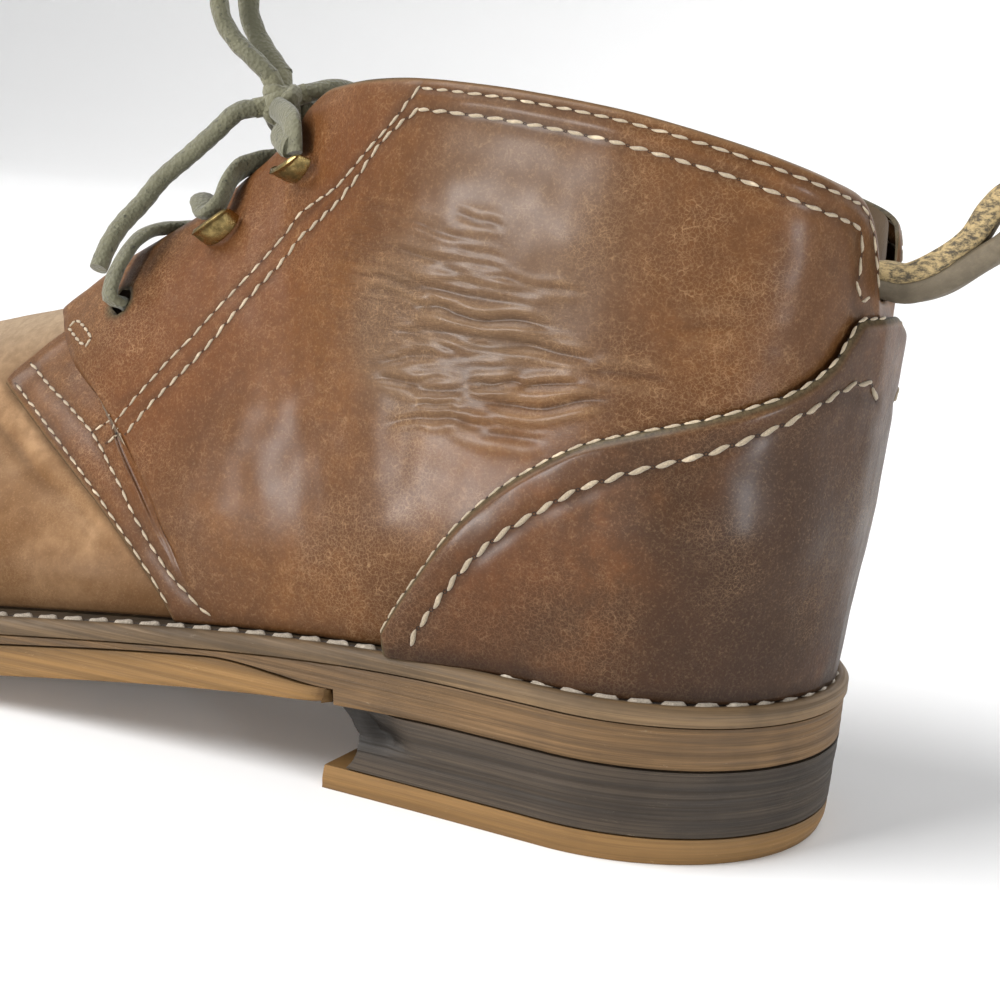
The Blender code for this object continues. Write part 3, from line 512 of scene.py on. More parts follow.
# Where the line of the throat is eased: foot shares, and shares of the height at the top
FAIR_START = 0.290
FAIR_RUN_IN = 0.020
FAIR_END = 0.385
FAIR_RUN_OUT = 0.025
FAIR_MEASURED = (0.30, 0.37)
FAIR_TOP = 0.75
FAIR_FADE = 0.30
# How far the easing reaches, in metres, and the most passes on a fine grid
FAIR_REACH = 0.0035
FAIR_MOST_PASSES = 240


class Panel:
    """A leather panel: a fine grid on one side of the upper, with its own relief."""

    def __init__(self, side, shares, rows, top_of, lift=0.0):
        self.side = side
        self.shares = np.asarray(shares, float)
        self.rows = np.asarray(rows, float)
        self.tops = np.array([top_of(q) for q in self.shares])
        self.points = np.array([skin_rows(side, q, self.rows, top)
                                for q, top in zip(self.shares, self.tops)])
        self.settle()
        self.fair()
        self.q = np.repeat(self.shares[:, None], len(self.rows), axis=1)
        self.t = self.tops[:, None] * self.rows[None, :]
        self.raise_by(np.full(self.q.shape, lift))
        self.base = self.points.copy()
        self.soil = np.zeros(self.q.shape)
        self.wear = np.zeros(self.q.shape)
        self.bare = np.zeros(self.q.shape)
        self.tone = np.full(self.q.shape, 0.5)
        self.fold = np.zeros(self.q.shape)
        self.gone = np.zeros((len(self.shares) - 1, len(self.rows) - 1), bool)

    def fair(self):
        """Ease the line where the throat closes, without sliding the grid along the foot."""
        run_in = soft((self.shares - FAIR_START) / FAIR_RUN_IN)
        run_out = soft((FAIR_END - self.shares) / FAIR_RUN_OUT)
        closing = 0.25 * (run_in * run_out)[1:-1, None, None]
        low, high = FAIR_MEASURED
        near = np.diff(self.shares)[(self.shares[1:] > low) & (self.shares[:-1] < high)]
        step = float(np.median(near)) * FOOT_LINE if len(near) else 1.0
        eased = self.points.copy()
        for _ in range(min(int(2 * (FAIR_REACH / step) ** 2), FAIR_MOST_PASSES)):
            eased[1:-1] += closing * (eased[:-2] + eased[2:] - 2 * eased[1:-1])
        change = ((eased - self.points) * self.normals).sum(axis=2)
        below = soft((FAIR_TOP - self.rows) / FAIR_FADE)[None, :]
        self.points = self.points + self.normals * (change * below)[..., None]
        self.settle()

    def settle(self):
        ahead = np.gradient(self.points, axis=0)
        above = np.gradient(self.points, axis=1)
        cross = np.cross(ahead, above) * self.side
        if self.shares[0] == 0.0:
            cross[0, :, 1] = 0.0
        self.normals = cross / np.maximum(np.linalg.norm(cross, axis=2, keepdims=True), 1e-12)

    def raise_by(self, amount):
        self.points = self.points + self.normals * amount[..., None]
        self.settle()

    def stain(self, mark, amount):
        """Raises a mark to at least this amount."""
        setattr(self, mark, np.maximum(getattr(self, mark), amount))

    def spot(self, q, t):
        """Row and column, with fractions, of a place on the panel."""
        i = float(np.interp(q, self.shares, np.arange(len(self.shares))))
        top = float(np.interp(q, self.shares, self.tops))
        j = float(np.interp(t / max(top, 1e-6), self.rows, np.arange(len(self.rows))))
        return i, j

    def sample(self, grid, q, t):
        i, j = self.spot(q, t)
        a = min(int(i), grid.shape[0] - 2)
        b = min(int(j), grid.shape[1] - 2)
        u, v = i - a, j - b
        return (grid[a, b] * (1 - u) * (1 - v) + grid[a + 1, b] * u * (1 - v)
                + grid[a, b + 1] * (1 - u) * v + grid[a + 1, b + 1] * u * v)

    def at(self, q, t):
        return Vector(self.sample(self.points, q, t))

    def normal(self, q, t):
        return Vector(self.sample(self.normals, q, t)).normalized()

    def edge_distance(self):
        """Distance of each point from the panel's upper edge and from its two ends."""
        steps = np.linalg.norm(np.diff(self.base, axis=1), axis=2)
        total = steps.sum(axis=1)[:, None]
        climbed = np.concatenate([np.zeros_like(total), np.cumsum(steps, axis=1)], axis=1)
        runs = np.linalg.norm(np.diff(self.base, axis=0), axis=2)
        gone = np.concatenate([np.zeros((1, runs.shape[1])), np.cumsum(runs, axis=0)], axis=0)
        return total - climbed, gone[-1][None, :] - gone, climbed


def stroke_distance(points, line):
    """Distance of every point from a line of points, and the share of the way along it."""
    line = np.asarray(line, float)
    lengths = np.linalg.norm(np.diff(line, axis=0), axis=1)
    total = max(lengths.sum(), 1e-9)
    best = np.full(points.shape[:-1], 1e9)
    share = np.zeros(points.shape[:-1])
    gone = 0.0
    for a, b, length in zip(line, line[1:], lengths):
        step = b - a
        part = np.clip(((points - a) @ step) / max(step @ step, 1e-12), 0, 1)
        distance = np.linalg.norm(points - a - part[..., None] * step, axis=-1)
        nearer = distance < best
        best = np.where(nearer, distance, best)
        share = np.where(nearer, (gone + part * length) / total, share)
        gone += length
    return best, share


def smooth_route(points, step):
    """Points at even steps on a smooth curve through the route's own points."""
    points = [Vector(p) for p in points]
    padded = [points[0] * 2 - points[1]] + points + [points[-1] * 2 - points[-2]]
    dense = []
    for k in range(len(points) - 1):
        p0, p1, p2, p3 = padded[k:k + 4]
        for i in range(12):
            t = i / 12
            dense.append(0.5 * (2 * p1 + (p2 - p0) * t
                                + (2 * p0 - 5 * p1 + 4 * p2 - p3) * t * t
                                + (3 * p1 - p0 - 3 * p2 + p3) * t ** 3))
    dense.append(points[-1])
    run = run_along(dense)
    count = max(2, round(run[-1] / step))
    even = []
    for k in range(count + 1):
        target = run[-1] * k / count
        i = min(max(int(np.searchsorted(run, target)) - 1, 0), len(dense) - 2)
        part = (target - run[i]) / max(run[i + 1] - run[i], 1e-9)
        even.append(dense[i].lerp(dense[i + 1], min(max(part, 0.0), 1.0)))
    return even


def face_point(side, q, t, lift):
    """A point above the outer face of the leather."""
    step = 0.002
    here = skin_rows(side, q, [max(t - step, 0), t, min(t + step, 1)])
    ahead = skin_rows(side, min(q + step, THROAT_END), [t])[0]
    behind = skin_rows(side, max(q - step, 0.0), [t])[0]
    normal = np.cross(ahead - behind, here[2] - here[0]) * side
    return Vector(here[1] + normal / np.linalg.norm(normal) * lift)


def face_normal(side, q, t):
    return (face_point(side, q, t, MM) - face_point(side, q, t, 0.0)).normalized()


def hollows(grid_points, scale, seed):
    """Smooth noise from -1 to 1, about scale metres from one swell to the next."""
    flat = grid_points.reshape(-1, 3)
    values = [noise.noise(Vector(p) / scale + Vector((seed, 2.3 * seed, -seed))) for p in flat]
    return np.array(values).reshape(grid_points.shape[:-1])


# Meshes

def grid_quads(n, m, flip, start=0):
    i, j = np.meshgrid(np.arange(n - 1), np.arange(m - 1), indexing="ij")
    a = (i * m + j).ravel() + start
    quads = np.stack((a, a + m, a + m + 1, a + 1), axis=1)
    return quads[:, ::-1] if flip else quads


def ring_quads(rings, sides, start=0, wrap=False):
    """Faces between rings of points, and from the last to the first where they wrap."""
    faces = []
    for i in range(rings if wrap else rings - 1):
        a, b = start + i * sides, start + (i + 1) % rings * sides
        for k in range(sides):
            n = (k + 1) % sides
            faces.append((a + k, a + n, b + n, b + k))
    return faces


def new_piece(name, mesh, *materials):
    obj = bpy.data.objects.new(name, mesh)
    bpy.context.scene.collection.objects.link(obj)
    for material in materials:
        obj.data.materials.append(material)
    return obj


def built(name, points, faces, marks=None, closed=False):
    """A smooth-shaded mesh from arrays, its coincident points merged."""
    mesh = bpy.data.meshes.new(name)
    mesh.from_pydata(np.asarray(points, float).tolist(), [], [list(map(int, f)) for f in faces])
    for mark, values in (marks or {}).items():
        layer = mesh.attributes.new(mark, "FLOAT", "POINT")
        layer.data.foreach_set("value", np.asarray(values, np.float32).ravel())
    bm = bmesh.new()
    bm.from_mesh(mesh)
    bmesh.ops.remove_doubles(bm, verts=bm.verts[:], dist=0.000002)
    bmesh.ops.dissolve_degenerate(bm, edges=bm.edges[:], dist=0.000001)
    loose = [vert for vert in bm.verts if not vert.link_faces]
    bmesh.ops.delete(bm, geom=loose, context="VERTS")
    if closed:
        bmesh.ops.recalc_face_normals(bm, faces=bm.faces[:])
    bm.to_mesh(mesh)
    bm.free()
    mesh.shade_smooth()
    if closed:
        mesh.set_sharp_from_angle(angle=math.radians(50))
    return mesh


def panel_mesh(name, panels):
    """One mesh from the grids of both sides of the boot."""
    points, faces = [], []
    marks = {"soil": [], "wear": [], "bare": [], "tone": [], "fold": []}
    start = 0
    for panel in panels:
        n, m = panel.q.shape
        points.append(panel.points.reshape(-1, 3))
        for mark, values in marks.items():
            values.append(np.clip(getattr(panel, mark), 0.0, 1.0).ravel())
        faces.append(grid_quads(n, m, panel.side < 0, start)[~panel.gone.ravel()])
        start += n * m
    return built(name, np.concatenate(points), np.concatenate(faces),
                 {mark: np.concatenate(values) for mark, values in marks.items()})


def give_edge(obj, thickness):
    """Cut edges of real thickness round an open panel."""
    modifier = obj.modifiers.new("cut edge", "SOLIDIFY")
    modifier.thickness = thickness
    modifier.offset = -1.0
    modifier.use_rim = True
    modifier.use_rim_only = True
    modifier.material_offset_rim = 1
    modifier.use_even_offset = True
    modifier.thickness_clamp = 0.6


def swept(name, spine, outline, up=Vector((0, 0, 1)), caps=True):
    """A solid swept along a spine. outline(share, turn) gives the radius across and up."""
    spine = [Vector(p) for p in spine]
    points, sides = [], 14
    frames = []
    last = None
    for i, point in enumerate(spine):
        ahead = (spine[min(i + 1, len(spine) - 1)] - spine[max(i - 1, 0)]).normalized()
        if last is None:
            upright = abs(ahead.dot(up)) >= 0.95
            across = Vector((0, 1, 0)) if upright else ahead.cross(up).normalized()
        else:
            across = (last - ahead * last.dot(ahead)).normalized()
        last = across
        frames.append((point, across, across.cross(ahead).normalized()))
    for i, (point, across, rise) in enumerate(frames):
        share = i / (len(frames) - 1)
        for k in range(sides):
            turn = 2 * math.pi * k / sides
            wide, tall = outline(share, turn)
            points.append(point + across * wide * math.cos(turn) + rise * tall * math.sin(turn))
    faces = ring_quads(len(frames), sides)
    if caps:
        faces.append(tuple(range(sides)))
        faces.append(tuple(range(len(points) - 1, len(points) - 1 - sides, -1)))
    mesh = bpy.data.meshes.new(name)
    mesh.from_pydata([tuple(p) for p in points], [], faces)
    bm = bmesh.new()
    bm.from_mesh(mesh)
    bmesh.ops.recalc_face_normals(bm, faces=bm.faces[:])
    bm.to_mesh(mesh)
    bm.free()
    mesh.shade_smooth()
    mesh.set_sharp_from_angle(angle=math.radians(60))
    return mesh


# Materials

FOLD_TURN = (0.0, math.radians(6), 0.0)


class Finish:
    """A Principled material and short calls that add its pattern."""

    def __init__(self, name, roughness=0.6, specular=0.5, metallic=0.0, coat=0.0,
                 coat_roughness=0.3, sheen=0.0):
        self.material = bpy.data.materials.new(name)
        self.material.use_nodes = True
        self.tree = self.material.node_tree
        self.shader = self.tree.nodes["Principled BSDF"]
        settings = {"Roughness": roughness, "Specular IOR Level": specular,
                    "Metallic": metallic, "Coat Weight": coat,
                    "Coat Roughness": coat_roughness, "Sheen Weight": sheen,
                    "Sheen Roughness": 0.5}
        for socket, value in settings.items():
            self.shader.inputs[socket].default_value = value
        self.object = self.tree.nodes.new("ShaderNodeTexCoord").outputs["Object"]

    def put(self, socket, value):
        if isinstance(value, bpy.types.NodeSocket):
            self.tree.links.new(value, socket)
        elif isinstance(value, tuple) and len(value) == 3 and socket.type == "RGBA":
            socket.default_value = (*value, 1.0)
        else:
            socket.default_value = value

    def node(self, kind, sockets, **settings):
        """A new node with its settings made and its sockets linked or set."""
        node = self.tree.nodes.new("ShaderNode" + kind)
        for name, value in settings.items():
            setattr(node, name, value)
        for socket, value in sockets.items():
            self.put(node.inputs[socket], value)
        return node

    def stretched(self, scale, turn=(0.0, 0.0, 0.0)):
        sockets = {"Vector": self.object, "Scale": scale, "Rotation": turn}
        return self.node("Mapping", sockets).outputs["Vector"]

    def noise(self, scale, detail=4.0, roughness=0.55, distortion=0.0, vector=None):
        sockets = {"Vector": vector or self.object, "Scale": scale, "Detail": detail,
                   "Roughness": roughness, "Distortion": distortion}
        return self.node("TexNoise", sockets).outputs["Fac"]

    def cells(self, scale, feature="DISTANCE_TO_EDGE", vector=None):
        sockets = {"Vector": vector or self.object, "Scale": scale}
        return self.node("TexVoronoi", sockets, feature=feature).outputs["Distance"]

    def wandering(self, amount, scale):
        """The coordinates pushed about by noise, so that cell walls aren't straight."""
        source = self.node("TexNoise", {"Vector": self.object, "Scale": scale, "Detail": 3.0})
        sockets = {0: source.outputs["Color"], 1: (amount, amount, amount), 2: self.object}
        return self.node("VectorMath", sockets, operation="MULTIPLY_ADD").outputs["Vector"]

    def band(self, value, low, high, out_low=0.0, out_high=1.0):
        sockets = {"Value": value, "From Min": low, "From Max": high,
                   "To Min": out_low, "To Max": out_high}
        return self.node("MapRange", sockets, interpolation_type="SMOOTHSTEP").outputs["Result"]

    def sums(self, how, a, b, clamp=False):
        return self.node("Math", {0: a, 1: b}, operation=how, use_clamp=clamp).outputs["Value"]

    def blend(self, share, a, b):
        return self.node("Mix", {0: share, 6: a, 7: b}, data_type="RGBA").outputs[2]

    def mark(self, name):
        return self.node("Attribute", {}, attribute_name=name).outputs["Fac"]

    def colour(self, value):
        self.put(self.shader.inputs["Base Color"], value)

    def rough(self, value):
        self.put(self.shader.inputs["Roughness"], value)

    def relief(self, *layers):
        """Bumps one on another, each with its height, strength and depth in metres."""
        normal = None
        for height, strength, depth in layers:
            sockets = {"Strength": strength, "Distance": depth, "Height": height}
            if normal is not None:
                sockets["Normal"] = normal
            normal = self.node("Bump", sockets).outputs["Normal"]
        self.put(self.shader.inputs["Normal"], normal)


def leather(name, base, deep, light, cool, warm, gloss, veins=1.0, coat=0.12):
    """Waxed pull-up leather: mottled, with a fine net of paler cracks, darker grime and painted
    shade.
    """
    f = Finish(name, roughness=gloss, specular=0.12, coat=coat, coat_roughness=0.27)
    broad = f.band(f.noise(34, 4, 0.55, 0.5), 0.34, 0.66)
    cloud = f.noise(130, 5, 0.65, 0.4)
    fine = f.noise(520, 5, 0.66, 0.3)
    cells = f.cells(760, vector=f.wandering(0.0040, 260))
    small_cells = f.cells(1500, vector=f.wandering(0.0018, 520))
    where = f.band(f.noise(48, 3, 0.6), 0.38, 0.66)
    crackle = f.band(cells, 0.0, 0.10, 1.0, 0.0)
    net = f.sums("MULTIPLY", crackle, f.band(fine, 0.44, 0.74))
    net = f.sums("MULTIPLY", net, f.band(where, 0.0, 1.0, 0.40, 1.0))
    paint = f.blend(broad, deep, base)
    paint = f.blend(f.band(cloud, 0.34, 0.70, 0.55, 0.0), paint, deep)
    tone = f.mark("tone")
    # Painted shade through the tone: the counter's cooler spots towards the back of the heel, and
    # the quarters' darker warm spots by the facing.
    paint = f.blend(f.band(tone, 0.0, 0.5, 0.85, 0.0), paint, cool)
    paint = f.blend(f.band(tone, 0.5, 1.0, 0.0, 0.85), paint, warm)
    paint = f.blend(f.band(fine, 0.30, 0.72, 0.30, 0.0), paint, darker(deep, 0.75))
    paint = f.blend(f.band(f.noise(2100, 3, 0.7), 0.50, 0.72, 0.0, 0.16), paint, light)
    paint = f.blend(f.sums("MULTIPLY", net, 0.46 * veins), paint, light)
    paint = f.blend(f.sums("MULTIPLY", f.band(small_cells, 0.0, 0.10, 0.22, 0.0), where),
                    paint, light)
    fold = f.mark("fold")
    wrinkle = f.noise(1.0, 4, 0.55, 1.1, vector=f.stretched((95.0, 95.0, 520.0), FOLD_TURN))
    wrinkle = f.band(f.sums("ABSOLUTE", f.sums("SUBTRACT", wrinkle, 0.5), 0.0), 0.0, 0.075)
    hair = f.noise(1.0, 3, 0.5, 0.9, vector=f.stretched((240.0, 240.0, 1500.0), FOLD_TURN))
    hair = f.band(f.sums("ABSOLUTE", f.sums("SUBTRACT", hair, 0.5), 0.0), 0.0, 0.09)
    lines = f.sums("SUBTRACT", 1.0, f.sums("MULTIPLY", wrinkle, f.band(hair, 0.0, 1.0, 0.6, 1.0)))
    lines = f.sums("MULTIPLY", lines, fold)
    # Painted shade: the wrinkle troughs of the fold zones are painted darker.
    paint = f.blend(f.sums("MULTIPLY", lines, 0.36), paint, darker(deep, 0.45))
    paint = f.blend(f.sums("MULTIPLY", f.mark("wear"), 0.60, True), paint, light)
    # Grime and painted shade: the mark is painted shade in the crease troughs and along the foot
    # of the upper, and grime elsewhere.
    paint = f.blend(f.sums("MULTIPLY", f.mark("soil"), 0.9, True), paint, darker(deep, 0.22))
    fibre = f.band(f.noise(1500, 4, 0.7), 0.3, 0.7)
    rim = f.blend(fibre, darker(shade("edge"), 0.4), shade("edge"))
    paint = f.blend(f.mark("bare"), paint, rim)
    f.colour(paint)
    shine = f.band(f.noise(90, 5, 0.65), 0.3, 0.7, gloss - 0.06, gloss + 0.12)
    shine = f.sums("ADD", shine, f.sums("MULTIPLY", f.mark("soil"), 0.25))
    f.rough(f.sums("ADD", shine, f.sums("MULTIPLY", f.mark("bare"), 0.35), True))
    f.relief((cells, 0.24, 0.00012), (f.sums("MULTIPLY", lines, -1.0), 0.42, 0.00026),
             (small_cells, 0.30, 0.00010), (f.noise(2600, 3, 0.6), 0.26, 0.00008),
             (f.noise(620, 5, 0.66), 0.30, 0.00022))
    return f.material


def raw_edge(name, base, dark):
    """The fibrous cut edge of a panel."""
    f = Finish(name, roughness=0.9, specular=0.2, sheen=0.15)
    fibre = f.noise(1500, 4, 0.7)
    patch = f.band(f.noise(160, 3, 0.6), 0.38, 0.62)
    f.colour(f.blend(f.band(fibre, 0.3, 0.7), f.blend(patch, dark, base), base))
    f.relief((fibre, 0.6, 0.0004))
    return f.material


def folded_strap(name, base):
    """Smooth and dark on its lower run, with the golden flesh side showing on the upper."""
    f = Finish(name, roughness=0.7, specular=0.3)
    fibre = f.noise(1.0, 4, 0.75, vector=f.stretched((700.0, 1500.0, 1500.0)))
    patch = f.noise(420, 4, 0.7)
    smooth = f.blend(f.band(patch, 0.35, 0.7), darker(base, 0.75), base)
    flesh = f.blend(f.band(fibre, 0.36, 0.62), darker(base, 0.45), (0.42, 0.31, 0.15))
    f.colour(f.blend(f.mark("tone"), smooth, flesh))
    f.relief((fibre, 0.5, 0.0004), (patch, 0.2, 0.0002))
    return f.material


def thread(name, base, dirty, soiled=0.35):
    """Waxed two-ply thread, greyed where it has rubbed."""
    f = Finish(name, roughness=0.75, specular=0.3, sheen=0.2)
    fibre = f.noise(4200, 3, 0.7)
    patch = f.band(f.noise(230, 4, 0.7), 0.62 - soiled, 0.86 - soiled)
    f.colour(f.blend(f.sums("MULTIPLY", patch, f.band(fibre, 0.2, 0.8, 0.55, 1.0)), base, dirty))
    f.relief((fibre, 0.5, 0.00012))
    return f.material


def lace_cloth(name, base, dark):
    """Waxed round lace: a fine braid with dark flecks."""
    f = Finish(name, roughness=0.72, specular=0.3, sheen=0.25)
    braid = f.cells(1500, "F1", vector=f.wandering(0.0004, 900))
    fleck = f.band(f.noise(900, 4, 0.75), 0.56, 0.68)
    blotch = f.band(f.noise(120, 3, 0.6), 0.40, 0.70)
    paint = f.blend(f.sums("MULTIPLY", blotch, 0.55), base, darker(base, 0.62))
    paint = f.blend(f.sums("MULTIPLY", fleck, 0.85), paint, dark)
    f.colour(paint)
    f.relief((braid, 0.65, 0.00035), (f.noise(2600, 3, 0.6), 0.4, 0.0001))
    return f.material


def layered_edge(name, base, dark, light, streak=0.5, soil=0.0):
    """The rasped side of a sole: fine level streaks with scuffs and grime, and on the welt painted
    shadow against the upper.
    """
    f = Finish(name, roughness=0.62, specular=0.35)
    streaks = f.noise(1.0, 5, 0.72, 0.10, vector=f.stretched((22.0, 22.0, 3400.0)))
    broad = f.noise(1.0, 5, 0.65, 0.15, vector=f.stretched((20.0, 20.0, 1100.0)))
    patches = f.band(f.noise(60, 4, 0.6), 0.42, 0.70)
    scuff = f.band(f.noise(1.0, 6, 0.8, 0.6, vector=f.stretched((210.0, 210.0, 760.0))),
                   0.62, 0.74)
    paint = f.blend(f.band(broad, 0.35, 0.68), dark, base)
    paint = f.blend(f.band(streaks, 0.45, 0.66, 0.0, streak), paint, dark)
    paint = f.blend(f.sums("MULTIPLY", scuff, 0.55), paint, light)
    paint = f.blend(f.sums("MULTIPLY", patches, soil), paint, darker(dark, 0.4))
    # Grime and painted shade from the mark, which on the welt is painted shadow against the upper.
    paint = f.blend(f.sums("MULTIPLY", f.mark("soil"), 0.9, True), paint,
                    darker(dark, 0.25))
    paint = f.blend(f.sums("MULTIPLY", f.mark("wear"), 0.8, True), paint, light)
    f.colour(paint)
    f.rough(f.band(streaks, 0.3, 0.7, 0.5, 0.78))
    f.relief((streaks, 0.35, 0.00022), (broad, 0.12, 0.0002), (f.noise(900, 4, 0.65), 0.2, 0.0002))
    return f.material


def bare_leather(name, base, dark):
    """Lining and insole: suede-like, darkened by wear."""
    f = Finish(name, roughness=0.88, specular=0.2, sheen=0.2)
    patch = f.band(f.noise(32, 4, 0.6, 0.5), 0.36, 0.68)
    fibre = f.noise(1100, 5, 0.7)
    f.colour(f.blend(f.band(fibre, 0.25, 0.8, 0.0, 0.5), f.blend(patch, dark, base), base))
    f.relief((fibre, 0.4, 0.0003))
    return f.material


def worn_brass(name, base, tarnish):
    f = Finish(name, roughness=0.3, metallic=1.0)
    patch = f.band(f.noise(380, 5, 0.65), 0.40, 0.66)
    f.colour(f.blend(patch, base, tarnish))
    f.rough(f.band(patch, 0.0, 1.0, 0.24, 0.52))
    f.relief((f.noise(1400, 4, 0.6), 0.2, 0.0001))
    return f.material


# Sizes and colours that a user would change

def size(name, description, default, low=0.0, high=1.0):
    return bpy.props.FloatProperty(name=name, description=description, default=default,
                                   min=low, max=high, subtype="DISTANCE", unit="LENGTH",
                                   precision=5)


def tint(name, description, default):
    return bpy.props.FloatVectorProperty(name=name, description=description, default=default,
                                         size=3, min=0.0, max=1.0, subtype="COLOR")


class BootSizes(bpy.types.PropertyGroup):
    """Sizes of the boot's fine detail."""

    seam_pitch: size("Seam pitch", "Distance between stitches of the fine seams", 0.0029)
    seam_thread: size("Seam thread", "Thickness of the thread in the fine seams", 0.00042)
    heel_pitch: size("Counter pitch", "Distance between stitches of the counter seam", 0.0038)
    heel_thread: size("Counter thread", "Thickness of the counter's thick thread", 0.00074)
    welt_pitch: size("Welt pitch", "Distance between stitches of the welt", 0.0050)
    welt_thread: size("Welt thread", "Thickness of the welt's thread", 0.0013)
    crease_depth: size("Crease depth", "Depth of the deepest crease of the quarters", 0.00034)
    swell: size("Swell", "Height of the soft swells in the worn leather", 0.00045)
    rounding: size("Edge rounding", "How far a cut edge is rounded over", 0.0011)
    lace_diameter: size("Lace diameter", "Thickness of the round lace", LACE_DIAMETER)


class BootColours(bpy.types.PropertyGroup):
    """Colours of the boot's materials."""

    quarter: tint("Quarter", "Warm brown of the quarters", (0.140, 0.055, 0.014))
    quarter_deep: tint("Quarter, deep", "Darker mottling of the quarters", (0.076, 0.029, 0.008))
    quarter_light: tint("Quarter, light", "Rubbed veins of the quarters", (0.400, 0.250, 0.130))
    quarter_cool: tint("Quarter, cool", "Grey brown where it creases", (0.112, 0.062, 0.032))
    # Orange brown, darker than the quarter: by the facing this darkness is painted shade.
    quarter_warm: tint("Quarter, warm", "Orange brown by the laces", (0.118, 0.040, 0.010))
    vamp: tint("Vamp", "Paler tan of the vamp", (0.480, 0.295, 0.155))
    vamp_deep: tint("Vamp, deep", "Darker mottling of the vamp", (0.130, 0.060, 0.020))
    # The vamp turns to this paler tan towards the ridge.
    vamp_pale: tint("Vamp, pale", "Dusty tan along the ridge", (0.900, 0.690, 0.470))
    counter: tint("Counter", "Brown of the heel counter", (0.118, 0.042, 0.010))
    # Also the painted shade of the counter's cooler spots towards the back of the heel.
    counter_deep: tint("Counter, deep", "Burnished parts of the counter", (0.040, 0.017, 0.006))
    edge: tint("Cut edge", "Olive brown of the cut leather edges", (0.105, 0.078, 0.040))
    lining: tint("Lining", "Bare leather inside", (0.150, 0.100, 0.058))
    thread: tint("Thread", "Cream seam thread", (0.600, 0.480, 0.330))
    lace: tint("Lace", "Sage grey lace", (0.135, 0.128, 0.078))
    lace_fleck: tint("Lace fleck", "Dark flecks of the lace", (0.030, 0.029, 0.019))
    welt: tint("Welt", "Grey brown welt", (0.205, 0.128, 0.062))
    midsole: tint("Midsole", "Streaked brown midsole", (0.195, 0.108, 0.042))
    gum: tint("Gum", "Tan gum of the outsole and top lift", (0.245, 0.130, 0.040))
    stack: tint("Heel stack", "Dark layers of the heel", (0.064, 0.044, 0.027))
    brass: tint("Brass", "Worn brass of the hooks", (0.34, 0.25, 0.10))
    strap: tint("Strap", "Grey brown pull strap", (0.150, 0.120, 0.080))
    floor: tint("Floor", "Pale studio floor", (0.94, 0.94, 0.94))


def sizes():
    return bpy.context.scene.boot_sizes


def shade(name):
    return tuple(getattr(bpy.context.scene.boot_colours, name))


def darker(colour, share):
    return tuple(c * share for c in colour)


def shades(*names):
    return [shade(name) for name in names]


def sole_edge(kind, dark, light, streak, soil):
    """The edge of a sole layer, its dark streaks a share of its own colour."""
    return layered_edge(kind + "_edge", shade(kind), darker(shade(kind), dark), light, streak,
                        soil)


def tan_leather(name, veins, coat):
    return leather(name, *shades("vamp", "vamp_deep", "quarter_light", "vamp_deep", "vamp_pale"),
                   0.62, veins, coat)


FINISHES = {
    "quarter": lambda: leather("quarter_leather", *shades(
        "quarter", "quarter_deep", "quarter_light", "quarter_cool", "quarter_warm"),
        0.46, 0.9, 0.20),
    "vamp": lambda: tan_leather("vamp_leather", 0.35, 0.03),
    "tongue": lambda: tan_leather("tongue_leather", 0.4, 0.0),
    "counter": lambda: leather(
        "counter_leather", *shades("counter", "counter_deep"),
        darker(shade("quarter_light"), 0.85), *shades("counter_deep", "quarter_warm"),
        0.46, 0.55, 0.24),
    "edge": lambda: raw_edge("cut_edge", shade("edge"), darker(shade("edge"), 0.35)),
    # Painted shade at the needle holes.
    "hole": lambda: raw_edge("needle_hole", (0.020, 0.012, 0.008), (0.010, 0.007, 0.005)),
    "lining": lambda: bare_leather("lining_leather", shade("lining"),
                                   darker(shade("lining"), 0.5)),
    "insole": lambda: bare_leather("insole_leather", darker(shade("lining"), 0.8),
                                   darker(shade("lining"), 0.35)),
    "thread": lambda: thread("seam_thread", shade("thread"), darker(shade("thread"), 0.45)),
    "heel thread": lambda: thread("counter_thread", shade("thread"),
                                  darker(shade("thread"), 0.35), 0.40),
    "welt thread": lambda: thread("welt_thread", (0.62, 0.54, 0.43), (0.150, 0.120, 0.090),
                                  0.40),
    "lace": lambda: lace_cloth("lace_cloth", shade("lace"), shade("lace_fleck")),
    # A paler copy of the lace for the knot: painted light.
    "pale lace": lambda: lace_cloth("pale_lace_cloth", darker(shade("lace"), 1.35),
                                    darker(shade("lace"), 0.6)),
    "welt": lambda: sole_edge("welt", 0.45, (0.36, 0.29, 0.21), 0.5, 0.35),
    "midsole": lambda: sole_edge("midsole", 0.42, (0.30, 0.23, 0.15), 0.6, 0.25),
    "gum": lambda: sole_edge("gum", 0.62, (0.48, 0.33, 0.17), 0.3, 0.10),
    "stack": lambda: sole_edge("stack", 0.40, (0.20, 0.155, 0.105), 0.65, 0.30),
    "brass": lambda: worn_brass("hook_brass", shade("brass"), darker(shade("brass"), 0.38)),
    "strap": lambda: folded_strap("strap_leather", shade("strap")),
}


@functools.lru_cache(maxsize=None)
def finish(kind):
    """One material of each kind, made when it is first asked for."""
    return FINISHES[kind]()


# The camera, at the photograph's angle to the boot

CAMERA_PLACE = Vector((0.0932, -0.2538, 0.0981))
CAMERA_TURN = 0.4435
CAMERA_TILT = 0.1903
CAMERA_ROLL = 0.0916
CAMERA_LENS = 61.19


